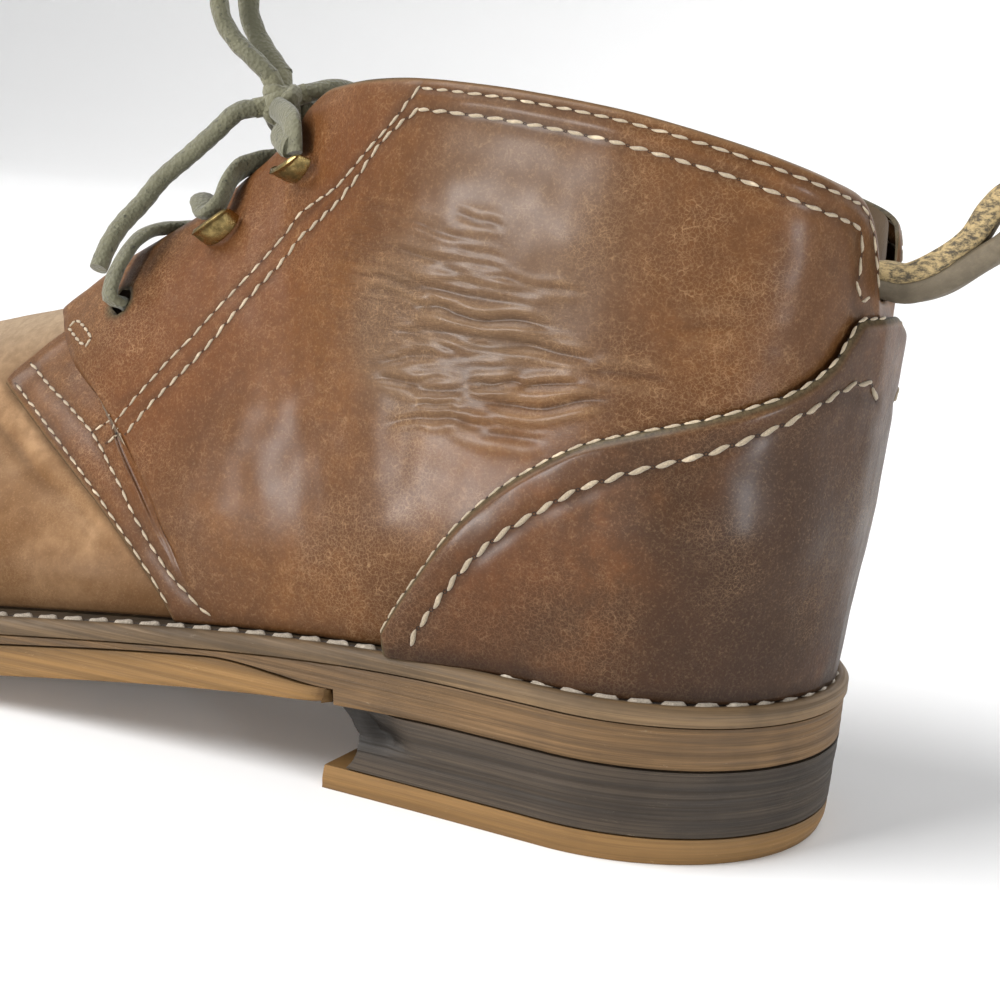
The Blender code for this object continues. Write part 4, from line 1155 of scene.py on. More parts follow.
def place_camera():
    data = bpy.data.cameras.new("boot_camera")
    data.lens = CAMERA_LENS
    data.sensor_width = 36.0
    data.clip_start = 0.01
    camera = bpy.data.objects.new("boot_camera", data)
    bpy.context.scene.collection.objects.link(camera)
    turn, tilt, roll = CAMERA_TURN, CAMERA_TILT, CAMERA_ROLL
    ahead = Vector((-math.sin(turn) * math.cos(tilt), math.cos(turn) * math.cos(tilt),
                    -math.sin(tilt)))
    level = Vector((math.cos(turn), math.sin(turn), 0.0))
    rise = level.cross(ahead)
    right = level * math.cos(roll) + rise * math.sin(roll)
    up = rise * math.cos(roll) - level * math.sin(roll)
    camera.matrix_world = Matrix((
        (right.x, up.x, -ahead.x, CAMERA_PLACE.x),
        (right.y, up.y, -ahead.y, CAMERA_PLACE.y),
        (right.z, up.z, -ahead.z, CAMERA_PLACE.z),
        (0.0, 0.0, 0.0, 1.0),
    ))
    bpy.context.scene.camera = camera


# Laces

STRAND_LIFT = 2 * GAP + LACE_DIAMETER / 2


def lace_strand(side):
    """From the low hole over the edge, across to the hook above, back across to the top."""
    rows = [row[1:] for row in LACE_ROWS]
    (q0, t0), (q1, t1), (q2, t2) = rows
    lift = STRAND_LIFT + GAP
    seat_lift = lift + GAP
    edge = 0.80 * STRAND_LIFT

    def over_edge(where, q):
        return face_point(where, q, 0.995, edge)

    def centre(qa, qb, rise):
        q = (qa + qb) / 2
        middle = Vector((skin_rows(-1, q, [1.0])[0] + skin_rows(1, q, [1.0])[0]) / 2)
        return middle + Vector((-0.3, 0, 1)).normalized() * rise * STRAND_LIFT

    return [
        face_point(side, q0, t0, -2 * LEATHER),
        face_point(side, q0, t0, -0.3 * LEATHER),
        face_point(side, q0, t0, lift),
        face_point(side, q0 - 0.003, t0 + 0.09, lift + GAP),
        over_edge(side, q0 - 0.007),
        centre(q0, q1, 0.1),
        over_edge(-side, q1 + 0.005),
        face_point(-side, q1 - 0.0005, t1 + 0.030, seat_lift),
        face_point(-side, q1 - 0.0045, t1 + 0.030, seat_lift),
        over_edge(-side, q1 - 0.008),
        centre(q1, q2, -0.1),
        over_edge(side, q2 + 0.012),
        face_point(side, q2 - 0.0005, t2 + 0.035, seat_lift),
        face_point(side, q2 - 0.0035, t2 + 0.020, seat_lift),
    ]


def knot_band(side):
    """The flat pull of lace from the top hook up to the knot."""
    _, q, t = LACE_ROWS[2]
    low = face_point(side, q - 0.0030, t + 0.005, 0.9 * STRAND_LIFT)
    rise = face_point(side, q - 0.0030, t + 0.075, 1.3 * STRAND_LIFT)
    top = knot_centre() + Vector((0.0012, side * 0.0030, -0.0010))
    return swept("band", smooth_route([low, rise, top], 0.0007),
                 lambda share, turn: (0.0023 - 0.0003 * share, 0.0011 + 0.0003 * share),
                 up=face_normal(side, q, t))


def knot_centre():
    q = LACE_ROWS[2][1]
    edge = (skin_rows(-1, q, [1.0])[0] + skin_rows(1, q, [1.0])[0]) / 2
    return Vector(edge) + KNOT_OFFSET


def knot_spine(middle):
    """A tight overhand knot: a three-lobed turn squeezed to the size of the knot."""
    spine = []
    for k in range(61):
        a = 2 * math.pi * k / 60 + 0.35
        x = math.sin(a) + 2 * math.sin(2 * a)
        y = math.cos(a) - 2 * math.cos(2 * a)
        z = -math.sin(3 * a)
        spine.append(middle + Vector((x * 0.115 * KNOT_SIZE[0], z * 0.20 * KNOT_SIZE[1],
                                      y * 0.115 * KNOT_SIZE[2])))
    return spine


def make_cords():
    radius = sizes().lace_diameter / 2
    cloth = finish("lace")
    middle = knot_centre()

    def round_lace(share, turn):
        braid = 1 + 0.035 * math.sin(2 * turn + 90 * share)
        return radius * braid * 1.08, radius * braid * 0.92

    meshes = [swept("knot", knot_spine(middle),
                    lambda share, turn: (radius * 0.98, radius * 0.84), caps=False)]
    for route in (NEAR_LOOP, NEAR_LOOP[::-1], NEAR_END, FAR_LOOP, FAR_LOOP[::-1], FAR_END):
        leaving = (Vector(route[1]) - Vector(route[0])).normalized() * 0.0004
        stub = [middle, middle + Vector(route[0]) * 0.5, middle + Vector(route[0]) + leaving]
        meshes.append(swept("stub", smooth_route(stub, 0.0006),
                            lambda share, turn: (radius * 1.03, radius * 1.0)))
    heart = bmesh.new()
    bmesh.ops.create_uvsphere(heart, u_segments=24, v_segments=16, radius=0.5)
    for vert in heart.verts:
        vert.co = Vector((vert.co[k] * KNOT_SIZE[k] * 0.86 for k in range(3))) + middle
    for mesh in meshes:
        heart.from_mesh(mesh)
    for face in heart.faces:
        face.smooth = True
    knot_mesh = bpy.data.meshes.new("knot")
    heart.to_mesh(knot_mesh)
    heart.free()
    # The knot wears the paler copy of the lace: painted light.
    knot = new_piece("knot", knot_mesh, finish("pale lace"))
    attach(knot, "root")
    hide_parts("lace_knot")

    cords = (
        ("near_loop", NEAR_LOOP, "knot"),
        ("near_end", NEAR_END, "bare"),
        ("far_loop", FAR_LOOP, "knot"),
        ("far_end", FAR_END, "bare"),
    )
    for name, route, end in cords:
        path = smooth_route([middle + Vector(p) for p in route], 0.0009)
        piece = new_piece(name, swept(name, path, round_lace), cloth)
        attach(piece, "root")
        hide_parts("lace_" + name)


def make_crossings():
    """Both strands of the lace, from the low holes through the hooks up to the knot."""
    radius = sizes().lace_diameter / 2
    meshes = []
    for side in (-1, 1):
        path = smooth_route(lace_strand(side), 0.0009)

        def flat_lace(share, turn):
            braid = 1 + 0.03 * math.sin(2 * turn + 160 * share)
            return radius * 1.22 * braid, radius * 0.68 * braid

        meshes.append(swept("strand", path, flat_lace))
        meshes.append(knot_band(side))
    bm = bmesh.new()
    for mesh in meshes:
        bm.from_mesh(mesh)
    joined = bpy.data.meshes.new("lace_strands")
    bm.to_mesh(joined)
    bm.free()
    joined.shade_smooth()
    piece = new_piece("lace_strands", joined, finish("lace"))
    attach(piece, "root")
    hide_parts("lace_crossings")


# Leather panels

CREASES = (
    # depth share, width in mm, then foot share and share of the height, point by point
    (0.55, 1.6, ((0.221, 0.67), (0.209, 0.66), (0.196, 0.67), (0.181, 0.68), (0.166, 0.69))),
    (0.95, 1.2, ((0.214, 0.62), (0.201, 0.64), (0.193, 0.64), (0.184, 0.64), (0.173, 0.66),
                 (0.160, 0.665))),
    (0.80, 1.2, ((0.216, 0.59), (0.202, 0.60), (0.191, 0.61), (0.179, 0.62), (0.170, 0.63),
                 (0.155, 0.64))),
    (0.65, 1.3, ((0.195, 0.59), (0.182, 0.60), (0.170, 0.62), (0.156, 0.63), (0.143, 0.63))),
    (0.70, 1.0, ((0.190, 0.53), (0.177, 0.55), (0.168, 0.57))),
    (0.75, 1.0, ((0.171, 0.55), (0.162, 0.57), (0.148, 0.59))),
    (1.00, 1.2, ((0.184, 0.51), (0.172, 0.52), (0.161, 0.53), (0.149, 0.56), (0.139, 0.575))),
    (0.45, 1.1, ((0.226, 0.51), (0.209, 0.55), (0.197, 0.57))),
    (0.55, 1.3, ((0.230, 0.50), (0.218, 0.50), (0.206, 0.50), (0.196, 0.51), (0.186, 0.53))),
    (0.50, 1.4, ((0.150, 0.61), (0.137, 0.62), (0.124, 0.62))),
    (0.50, 1.5, ((0.197, 0.46), (0.184, 0.46), (0.171, 0.47), (0.157, 0.48))),
    (0.30, 1.4, ((0.226, 0.71), (0.209, 0.71), (0.199, 0.71), (0.190, 0.70), (0.181, 0.68))),
    (0.22, 1.2, ((0.216, 0.76), (0.201, 0.77), (0.190, 0.755))),
    (0.30, 1.0, ((0.208, 0.475), (0.198, 0.485), (0.188, 0.49))),
    (0.28, 1.8, ((0.128, 0.70), (0.118, 0.72), (0.106, 0.73))),
)
SWELLS = (
    # height in mm, width in mm, then foot share and share of the height, point by point
    (2.3, 11.0, ((0.222, 0.22), (0.200, 0.23), (0.178, 0.24))),
    (0.8, 9.0, ((0.205, 0.80), (0.185, 0.82), (0.160, 0.82))),
    (-0.5, 8.0, ((0.225, 0.57), (0.195, 0.58), (0.165, 0.61), (0.140, 0.63))),
    (0.6, 8.0, ((0.320, 0.28), (0.295, 0.22), (0.275, 0.18))),
)
FACING_SEAM = (
    # foot share, share of the height
    (0.3400, 0.490), (0.3180, 0.560), (0.3040, 0.610), (0.2830, 0.680), (0.2650, 0.730),
    (0.2420, 0.780), (0.2250, 0.880), (0.2110, 0.970), (0.2095, 0.990),
)
FACING_SECOND_SEAM = (
    (0.3385, 0.455), (0.3140, 0.530), (0.2980, 0.580), (0.2780, 0.650), (0.2480, 0.725),
    (0.2330, 0.800), (0.2210, 0.890), (0.2085, 0.950),
)


def even_shares(low, high, count):
    return list(np.linspace(low, high, count))


def quarter_top(q):
    """The facing runs on down in front of the throat, baring the middle of the vamp."""
    if q <= THROAT_END:
        return 1.0
    return float(np.interp(q, (THROAT_END, RIDGE_START, 0.341, 0.347, QUARTER_FRONT),
                           (1.0, 0.845, 0.770, 0.680, 0.650)))


def route_on(panel, route):
    return np.array([panel.at(q, t) for q, t in route])


def inset_row(panel, edge, inset):
    """A row of places a set distance inside an edge, across the leather."""
    places = []
    nudge = 0.0015
    for k, (q, t) in enumerate(edge):
        before = panel.at(*edge[max(k - 1, 0)])
        after = panel.at(*edge[min(k + 1, len(edge) - 1)])
        inward = panel.normal(q, t).cross(after - before).normalized() * inset * panel.side
        q_low, q_high = max(q - nudge, 0.0), min(q + nudge, panel.shares[-1])
        t_low, t_high = max(t - 0.02, 0.0), max(t - 0.002, 0.0)
        by_q = (panel.at(q_high, t_high) - panel.at(q_low, t_high)) / (q_high - q_low)
        by_t = (panel.at(q, t_high) - panel.at(q, t_low)) / max(t_high - t_low, 1e-6)
        solved = np.linalg.lstsq(np.array([by_q, by_t]).T, np.array(inward), rcond=None)[0]
        places.append((q + float(solved[0]), min(max(t + float(solved[1]), 0.0), 1.0)))
    return places


def press_seam(panel, route, depth, width):
    """The thread pulls the leather down into a shallow, grubby groove."""
    distance, _ = stroke_distance(panel.points, route_on(panel, route))
    trough = bell(distance, width)
    panel.stain("soil", 0.42 * bell(distance, 0.8 * width))
    return -depth * trough


def crease_relief(panel, creases, depth):
    amount = np.zeros(panel.q.shape)
    for share, width, route in creases:
        line = smooth_route([panel.at(q, t) for q, t in route], 0.0015)
        distance, along = stroke_distance(panel.base, line)
        fade = soft(along / 0.25) * soft((1 - along) / 0.25)
        wobble = 1 + 0.35 * hollows(panel.base, 0.006, 11.0)
        spread_width = 0.62 * width * MM * (0.7 + 0.3 * fade)
        trough = bell(distance, spread_width) * fade * wobble
        ridge = bell(distance - 2.0 * spread_width, 1.1 * spread_width) * fade
        amount += depth * share * (0.55 * ridge - trough)
        # Painted shade in the trough of each crease.
        panel.stain("soil", 0.55 * share * bell(distance, 0.55 * spread_width) * fade)
        panel.stain("wear", 0.30 * share * ridge)
    return amount


def swell_relief(panel, swells):
    amount = np.zeros(panel.q.shape)
    for height, width, route in swells:
        line = smooth_route([panel.at(q, t) for q, t in route], 0.003)
        distance, _ = stroke_distance(panel.base, line)
        amount += height * MM * bell(distance, width * MM)
    return amount


def round_edges(panel, rounding):
    """Lets the leather down, and wears it, towards the panel's top and its front."""
    up, end, _ = panel.edge_distance()
    near = np.clip(1 - np.minimum(up, end) / rounding, 0, 1)
    panel.stain("wear", 0.55 * near)
    return -0.55 * rounding * near ** 2


def add_spots(panel, mark, spots):
    """Adds soft round spots to a mark. In the tone, below 0 is cooler and above warmer."""
    values = getattr(panel, mark)
    for q, t, radius, amount in spots:
        distance = np.linalg.norm(panel.base - np.array(panel.at(q, t)), axis=2)
        values = values + amount * bell(distance, radius)
    setattr(panel, mark, values)


def join_sides(outer, inner, heel=False, toe=False, ridge=False):
    """Gives the two sides one line of points where they meet."""
    lines = []
    if heel:
        lines.append((0, slice(None)))
    if toe:
        lines.append((-1, slice(None)))
    if ridge:
        lines.append((slice(None), -1))
    for line in lines:
        middle = (outer.points[line] + inner.points[line]) / 2
        outer.points[line] = middle
        inner.points[line] = middle


def punch(panel, q, t, radius):
    """A round hole: the grid is drawn out to its edge and the faces inside it go."""
    centre = np.array(panel.at(q, t))
    axis = np.array(panel.normal(q, t))
    off = panel.points - centre
    height = off @ axis
    flat = off - height[..., None] * axis
    reach = np.linalg.norm(flat, axis=2)
    inside = (reach < radius) & (np.abs(height) < 0.006)
    corners = np.stack((inside[:-1, :-1], inside[1:, :-1], inside[1:, 1:], inside[:-1, 1:]))
    panel.gone |= corners.all(axis=0)
    mixed = corners.any(axis=0) & ~corners.all(axis=0)
    move = np.zeros(inside.shape, bool)
    for a, b in ((0, 0), (1, 0), (1, 1), (0, 1)):
        move[a:a + mixed.shape[0], b:b + mixed.shape[1]] |= mixed
    move &= inside
    stretch = (radius - reach) / np.maximum(reach, 1e-6)
    panel.points = np.where(move[..., None], panel.points + flat * stretch[..., None],
                            panel.points)
    near = bell(np.maximum(reach - radius, 0.0), 0.6 * MM)
    near = np.where(np.abs(height) < 0.006, near, 0.0)
    panel.stain("bare", near)
    panel.stain("soil", 0.5 * near)


# Seams

def row_on(panel, places, step=0.0007):
    """Points and normals close together on a smooth row across a panel."""
    flat = smooth_route([Vector((q * FOOT_LINE, t * SIDE_HEIGHT, 0.0)) for q, t in places], step)
    row = []
    for spot in flat:
        q, t = spot.x / FOOT_LINE, spot.y / SIDE_HEIGHT
        row.append((panel.at(q, t), panel.normal(q, t)))
    return row


class Seam:
    """Stitches of one thread and dark discs of painted shade at its needle holes, gathered into
    two meshes.
    """

    RINGS = 7
    SIDES = 9

    def __init__(self, seed):
        self.chance = random.Random(seed)
        self.points, self.faces = [], []
        self.hole_points, self.hole_faces = [], []

    def stitch(self, middle, ahead, normal, length, thickness, slant):
        across = normal.cross(ahead).normalized()
        lean = self.chance.gauss(0.0, 0.045)
        long = length * (1 + self.chance.gauss(0.0, 0.05))
        start = len(self.points)
        for i in range(self.RINGS):
            s = -1 + 2 * i / (self.RINGS - 1)
            body = math.sqrt(max(0.0, 1 - abs(s) ** 3.2)) * 0.86 + 0.14
            sway = (lean + slant) * s * long / 2 + 0.10 * thickness * math.sin(math.pi * s)
            rise = thickness * (0.28 * (1 - s ** 4) - 0.16)
            centre = middle + ahead * (s * long / 2) + across * sway + normal * rise
            for k in range(self.SIDES):
                turn = 2 * math.pi * k / self.SIDES
                ply = 1 + 0.16 * math.cos(2 * (turn - 2.2 * s))
                radius = thickness / 2 * body * ply
                self.points.append(centre + across * (radius * math.cos(turn))
                                   + normal * (0.82 * radius * math.sin(turn)))
        self.faces += ring_quads(self.RINGS, self.SIDES, start)
        last = start + (self.RINGS - 1) * self.SIDES
        self.faces.append(tuple(range(start + self.SIDES - 1, start - 1, -1)))
        self.faces.append(tuple(range(last, last + self.SIDES)))

    # A dark disc at a needle hole: painted shade.
    def hole(self, middle, ahead, normal, length, width):
        across = normal.cross(ahead).normalized()
        start = len(self.hole_points)
        self.hole_points.append(middle - normal * 0.00008)
        for k in range(8):
            turn = 2 * math.pi * k / 8
            self.hole_points.append(middle + ahead * (length * math.cos(turn))
                                    + across * (width * math.sin(turn)) + normal * 0.00006)
        for k in range(8):
            self.hole_faces.append((start, start + 1 + k, start + 1 + (k + 1) % 8))

    def sew(self, row, pitch, thickness, fill=0.86, slant=0.0):
        """Stitches at even steps along a row of points and normals."""
        run = run_along([place for place, _ in row])
        count = max(1, round(run[-1] / pitch))
        real = run[-1] / count

        def at(distance):
            i = min(max(int(np.searchsorted(run, distance)) - 1, 0), len(row) - 2)
            part = (distance - run[i]) / max(run[i + 1] - run[i], 1e-9)
            place = row[i][0].lerp(row[i + 1][0], part)
            ahead = (row[i + 1][0] - row[i][0]).normalized()
            return place, ahead, row[i][1].lerp(row[i + 1][1], part).normalized()

        for k in range(count):
            middle, ahead, normal = at((k + 0.5) * real)
            self.stitch(middle, ahead, normal, real * fill, thickness, slant)
            middle, ahead, normal = at(k * real)
            self.hole(middle, ahead, normal, 0.55 * thickness, 0.42 * thickness)

    def finish(self, name, slot, thread_name):
        """Makes one piece of the stitches and one of the painted shade at the needle holes."""
        hole_name = name + "_holes"
        parts = ((name, built(name, self.points, self.faces), thread_name),
                 (hole_name, built(hole_name, self.hole_points, self.hole_faces), "hole"))
        for label, mesh, kind in parts:
            piece = new_piece(label, mesh, finish(kind))
            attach(piece, "root")


# Pieces of the upper

QUARTER_SHARES = (even_shares(0.0, 0.100, 36)[:-1] + even_shares(0.100, 0.2625, 140)[:-1]
                  + even_shares(0.2625, THROAT_END, 50)[:-1]
                  + even_shares(THROAT_END, QUARTER_FRONT, 22))
QUARTER_ROWS = (even_shares(0.0, 0.36, 34)[:-1] + even_shares(0.36, 0.78, 100)[:-1]
                + even_shares(0.78, 0.965, 28)[:-1] + even_shares(0.965, 1.0, 9))
COLLAR_EDGE = [(q, 1.0) for q in (0.2085, 0.200, 0.190, 0.175, 0.150, 0.125, 0.100, 0.080,
                                  0.065, 0.055, 0.046, 0.038, 0.030, 0.023, 0.018, 0.0145)]
FRONT_SEAM = ((0.3472, 0.640), (0.3468, 0.500), (0.3466, 0.350), (0.3466, 0.200),
              (0.3462, 0.050))
FRONT_SECOND_SEAM = ((0.3440, 0.700), (0.3430, 0.610), (0.3405, 0.490), (0.3400, 0.390),
                     (0.3400, 0.230), (0.3360, 0.110), (0.3250, 0.020))
TACK = ((0.3290, 0.840), (0.3270, 0.840), (0.3250, 0.750), (0.3270, 0.750), (0.3290, 0.840))
COUNTER_SECOND_SEAM = ((0.0160, 0.720), (0.0500, 0.640), (0.0940, 0.540), (0.1320, 0.450),
                       (0.1580, 0.350), (0.1820, 0.230), (0.2060, 0.080), (0.2110, 0.030))


def fine_creases():
    """The fan of small wrinkles that runs across the ankle between the main creases."""
    rng = np.random.default_rng(61)
    routes = []
    for k in range(26):
        t = 0.45 + 0.34 * k / 25 + rng.uniform(-0.010, 0.010)
        middle = 0.188 + rng.uniform(-0.034, 0.034)
        reach = rng.uniform(0.008, 0.022)
        lean = 1.2 - 4.0 * (t - 0.50) + rng.uniform(-0.7, 0.7)
        route = []
        for j in range(5):
            along = (j / 4 - 0.5) * 2 * reach
            route.append((middle - along, t + lean * along + rng.uniform(-0.005, 0.005)))
        routes.append((rng.uniform(0.15, 0.50), rng.uniform(0.55, 0.95), tuple(route)))
    return tuple(routes)


def quarter_panel(side):
    panel = Panel(side, QUARTER_SHARES, QUARTER_ROWS, quarter_top)
    depth = sizes().crease_depth
    relief = crease_relief(panel, CREASES + fine_creases(), depth)
    relief += swell_relief(panel, SWELLS)
    relief += sizes().swell * hollows(panel.base, 0.021, 3.0)
    relief += 0.00012 * hollows(panel.base, 0.0048, 7.0)
    collar = inset_row(panel, COLLAR_EDGE, 0.0015)
    lower = inset_row(panel, COLLAR_EDGE, 0.0045)
    for route, hollow, width in (
            (FACING_SEAM, 0.00016, 0.0011), (FACING_SECOND_SEAM, 0.00018, 0.0012),
            (collar, 0.00016, 0.0011), (lower, 0.00022, 0.0013),
            (FRONT_SEAM, 0.00016, 0.0011), (FRONT_SECOND_SEAM, 0.00020, 0.0012)):
        relief += press_seam(panel, route, hollow, width)
    up, end, low = panel.edge_distance()
    relief += round_edges(panel, sizes().rounding) + 0.00030 * bell(up - 0.0030, 0.0018)
    near_lace = np.clip((panel.q - 0.205) / 0.02, 0, 1) * np.clip((0.345 - panel.q) / 0.01, 0, 1)
    panel.stain("bare", bell(up, 0.00045) * near_lace)
    panel.stain("bare", 0.8 * bell(end, 0.00050))
    # Darker along the foot of the upper by the welt: grime and painted shadow.
    panel.stain("soil", 0.55 * bell(low, 0.0022))
    panel.stain("soil", 0.35 * bell(up, 0.0004) * (1 - near_lace))
    add_spots(panel, "tone", QUARTER_TONES_AND_SHADE)
    add_spots(panel, "fold", FOLD_ZONES)
    panel.raise_by(relief)
    punch(panel, LACE_ROWS[0][1], LACE_ROWS[0][2], HOLE_DIAMETER / 2)
    return panel, collar, lower


QUARTER_TONES_AND_SHADE = (
    # foot share, share of the height, radius, warmer or cooler; the warmer spots by the facing are
    # orange brown, darkened as painted shade
    (0.285, 0.75, 0.016, 0.55),
    (0.262, 0.82, 0.014, 0.50),
    (0.232, 0.88, 0.012, 0.35),
    (0.310, 0.62, 0.014, 0.45),
    (0.335, 0.45, 0.016, 0.35),
    (0.200, 0.60, 0.015, -0.50),
    (0.170, 0.66, 0.015, -0.30),
    (0.220, 0.55, 0.012, -0.35),
    (0.160, 0.86, 0.014, -0.30),
    (0.185, 0.90, 0.012, -0.35),
    (0.165, 0.45, 0.011, 0.30),
    (0.250, 0.45, 0.014, 0.20),
    (0.100, 0.62, 0.012, 0.15),
)


FOLD_ZONES = (
    # where the ankle bends, with wrinkle troughs painted darker as painted shade: foot share,
    # share of the height, radius, strength
    (0.200, 0.60, 0.009, 0.55),
    (0.172, 0.60, 0.009, 0.65),
    (0.222, 0.66, 0.010, 0.40),
    (0.232, 0.74, 0.009, 0.25),
    (0.145, 0.62, 0.008, 0.35),
    (0.185, 0.52, 0.006, 0.45),
    (0.120, 0.66, 0.009, 0.18),
    (0.240, 0.58, 0.010, 0.22),
)


def make_quarters():
    """The two quarters, with their creases, seams, lace holes and cut edges."""
    panels, seams = [], Seam(5)
    pitch, thickness = sizes().seam_pitch, sizes().seam_thread
    for side in (-1, 1):
        panel, collar, lower = quarter_panel(side)
        panels.append(panel)
    join_sides(*panels, heel=True)
    for panel in panels:
        panel.settle()
        seams.sew(row_on(panel, collar), pitch, thickness)
        seams.sew(row_on(panel, lower), pitch * 1.12, thickness * 1.25)
        seams.sew(row_on(panel, FACING_SEAM), pitch, thickness)
        seams.sew(row_on(panel, FACING_SECOND_SEAM), pitch * 1.03, thickness * 1.2, slant=0.14)
        seams.sew(row_on(panel, FRONT_SEAM), pitch, thickness)
        seams.sew(row_on(panel, FRONT_SECOND_SEAM), pitch, thickness * 1.1)
        seams.sew(row_on(panel, TACK), pitch * 0.75, thickness * 1.15)
    quarters = new_piece("quarters", panel_mesh("quarters", panels), finish("quarter"),
                         finish("edge"))
    give_edge(quarters, LEATHER - 0.6 * sizes().rounding)
    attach(quarters, "root")
    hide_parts("upper")
    seams.finish("quarter_seams", "upper", "thread")


def ease_toe(panel):
    """The ridge runs straight into the line of the toe, so the grid's corner is drawn anew."""
    points = panel.points
    points[-1, -1] = 2 * points[-4, -1] - points[-7, -1]
    for k in (1, 2):
        points[-1 - k, -1] = points[-1, -1] + (points[-4, -1] - points[-1, -1]) * k / 3
        points[-1, -1 - k] = points[-1, -1] + (points[-1, -4] - points[-1, -1]) * k / 3
    points[-2, -2] = (points[-3, -2] + points[-2, -3]) / 2
    panel.settle()


def make_vamp():
    """The vamp, a step lower than the quarters, from under them to the toe."""
    panels = []
    shares = even_shares(RIDGE_START, 0.36, 16)[:-1] + even_shares(0.36, 0.88, 150)[:-1] \
        + even_shares(0.88, 1.0, 60)
    for side in (-1, 1):
        panel = Panel(side, shares, even_shares(0, 1, 96), lambda q: 1.0, -VAMP_STEP)
        relief = 0.00055 * hollows(panel.base, 0.024, 13.0)
        relief += 0.00010 * hollows(panel.base, 0.0055, 17.0)
        relief += crease_relief(panel, VAMP_CREASES, 0.0005)
        up, end, low = panel.edge_distance()
        back = np.linalg.norm(panel.base - panel.base[:1], axis=2)
        start = bell(back, 0.0009)
        panel.stain("bare", start * (panel.t > 0.7))
        relief -= 0.0005 * start
        # Darker along the foot of the upper by the welt: grime and painted shadow.
        panel.stain("soil", 0.75 * bell(low, 0.0035))
        panel.stain("soil", 0.50 * bell(low, 0.011))
        # Darker under the quarter and just in front of its front edge.
        in_front = np.clip((panel.q - QUARTER_FRONT) * FOOT_LINE, 0, 1)
        panel.stain("soil", 0.6 * bell(in_front, 0.0012))
        # The vamp's colour runs paler towards the ridge and darker towards the welt.
        panel.tone = 0.5 + 0.42 * soft((panel.t - 0.55) / 0.45) - 0.35 * soft(
            (0.40 - panel.t) / 0.4)
        panel.raise_by(relief)
        ease_toe(panel)
        panels.append(panel)
    join_sides(*panels, toe=True, ridge=True)
    vamp = new_piece("vamp", panel_mesh("vamp", panels), finish("vamp"), finish("edge"))
    give_edge(vamp, LEATHER - 0.0002)
    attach(vamp, "root")


VAMP_CREASES = (
    # depth share, width in mm, then foot share and share of the height, point by point
    (0.7, 2.6, ((0.372, 0.30), (0.378, 0.50), (0.386, 0.70), (0.392, 0.92))),
    (0.6, 2.4, ((0.392, 0.35), (0.402, 0.55), (0.412, 0.75), (0.420, 0.95))),
    (0.4, 2.6, ((0.430, 0.45), (0.440, 0.62), (0.448, 0.80))),
    (0.3, 2.0, ((0.358, 0.20), (0.366, 0.32), (0.380, 0.42))),
)


def make_lining():
    """Bare leather inside the upper, from the heel to the toe."""
    panels = []
    shares = even_shares(0.0, THROAT_END, 90)[:-1] + even_shares(THROAT_END, 1.0, 90)
    for side in (-1, 1):
        panel = Panel(side, shares, even_shares(0, 1, 44),
                      lambda q: quarter_top(q) if q < RIDGE_START else 1.0)
        deeper = np.where(panel.q > THROAT_END, VAMP_STEP * soft((panel.q - THROAT_END) / 0.01), 0)
        relief = -LEATHER - deeper + 0.0003 * hollows(panel.base, 0.020, 19.0)
        relief = np.minimum(relief, -LEATHER + 0.0001)
        panel.raise_by(relief)
        punch(panel, LACE_ROWS[0][1], LACE_ROWS[0][2], HOLE_DIAMETER / 2)
        panels.append(panel)
    join_sides(*panels, heel=True, toe=True)
    lining = new_piece("lining", panel_mesh("lining", panels), finish("lining"))
    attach(lining, "root")


def make_counter():
    """The heel counter: a thicker panel over the quarters with its own raw edge."""
    panels, seams, thick = [], Seam(8), Seam(9)
    last = COUNTER_EDGE[-1][0] - 0.003
    shares = even_shares(0.0, 0.17, 130)[:-1] + even_shares(0.17, last, 60)
    places = [0.0, 0.012, 0.024, 0.034, 0.042, 0.05, 0.06, 0.075, 0.095, 0.12, 0.145, 0.165,
              0.18, 0.195, 0.207, 0.217, 0.2235]
    for side in (-1, 1):
        panel = Panel(side, shares, even_shares(0, 0.93, 66)[:-1] + even_shares(0.93, 1, 14),
                      counter_top, GAP + COUNTER_LEATHER)
        edge = [(q, counter_top(q)) for q in places]
        first = inset_row(panel, edge, 0.0021)[1:]
        relief = 0.00035 * hollows(panel.base, 0.018, 23.0)
        relief += 0.00010 * hollows(panel.base, 0.005, 29.0)
        relief += swell_relief(panel, SWELLS[:1] + COUNTER_SWELLS)
        relief += press_seam(panel, first, 0.00020, 0.0011)
        relief += press_seam(panel, COUNTER_SECOND_SEAM, 0.00026, 0.0015)
        relief += round_edges(panel, 0.0016)
        up, end, low = panel.edge_distance()
        cut = np.clip(1.15 - np.minimum(up, end) / 0.0011, 0, 1)
        panel.stain("bare", soft(cut))
        panel.wear = np.where(panel.bare > 0.3, 0.0, panel.wear)
        # Darker along the foot of the upper by the welt: grime and painted shadow.
        panel.stain("soil", 0.75 * bell(low, 0.0035))
        panel.stain("soil", 0.35 * bell(low, 0.012))
        add_spots(panel, "tone", COUNTER_TONES_AND_SHADE)
        panel.raise_by(relief)
        panels.append(panel)
    join_sides(*panels, heel=True)
    for panel in panels:
        panel.settle()
        seams.sew(row_on(panel, first), sizes().seam_pitch, sizes().seam_thread * 1.1)
        thick.sew(row_on(panel, COUNTER_SECOND_SEAM), sizes().heel_pitch, sizes().heel_thread,
                  fill=0.88, slant=0.10)
    counter = new_piece("heel_counter_leather", panel_mesh("heel_counter_leather", panels),
                        finish("counter"), finish("edge"))
    give_edge(counter, COUNTER_LEATHER - 0.0002)
    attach(counter, "root")
    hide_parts("heel_counter")
    seams.finish("counter_seam", "heel_counter", "thread")
    thick.finish("counter_thick_seam", "heel_counter", "heel thread")


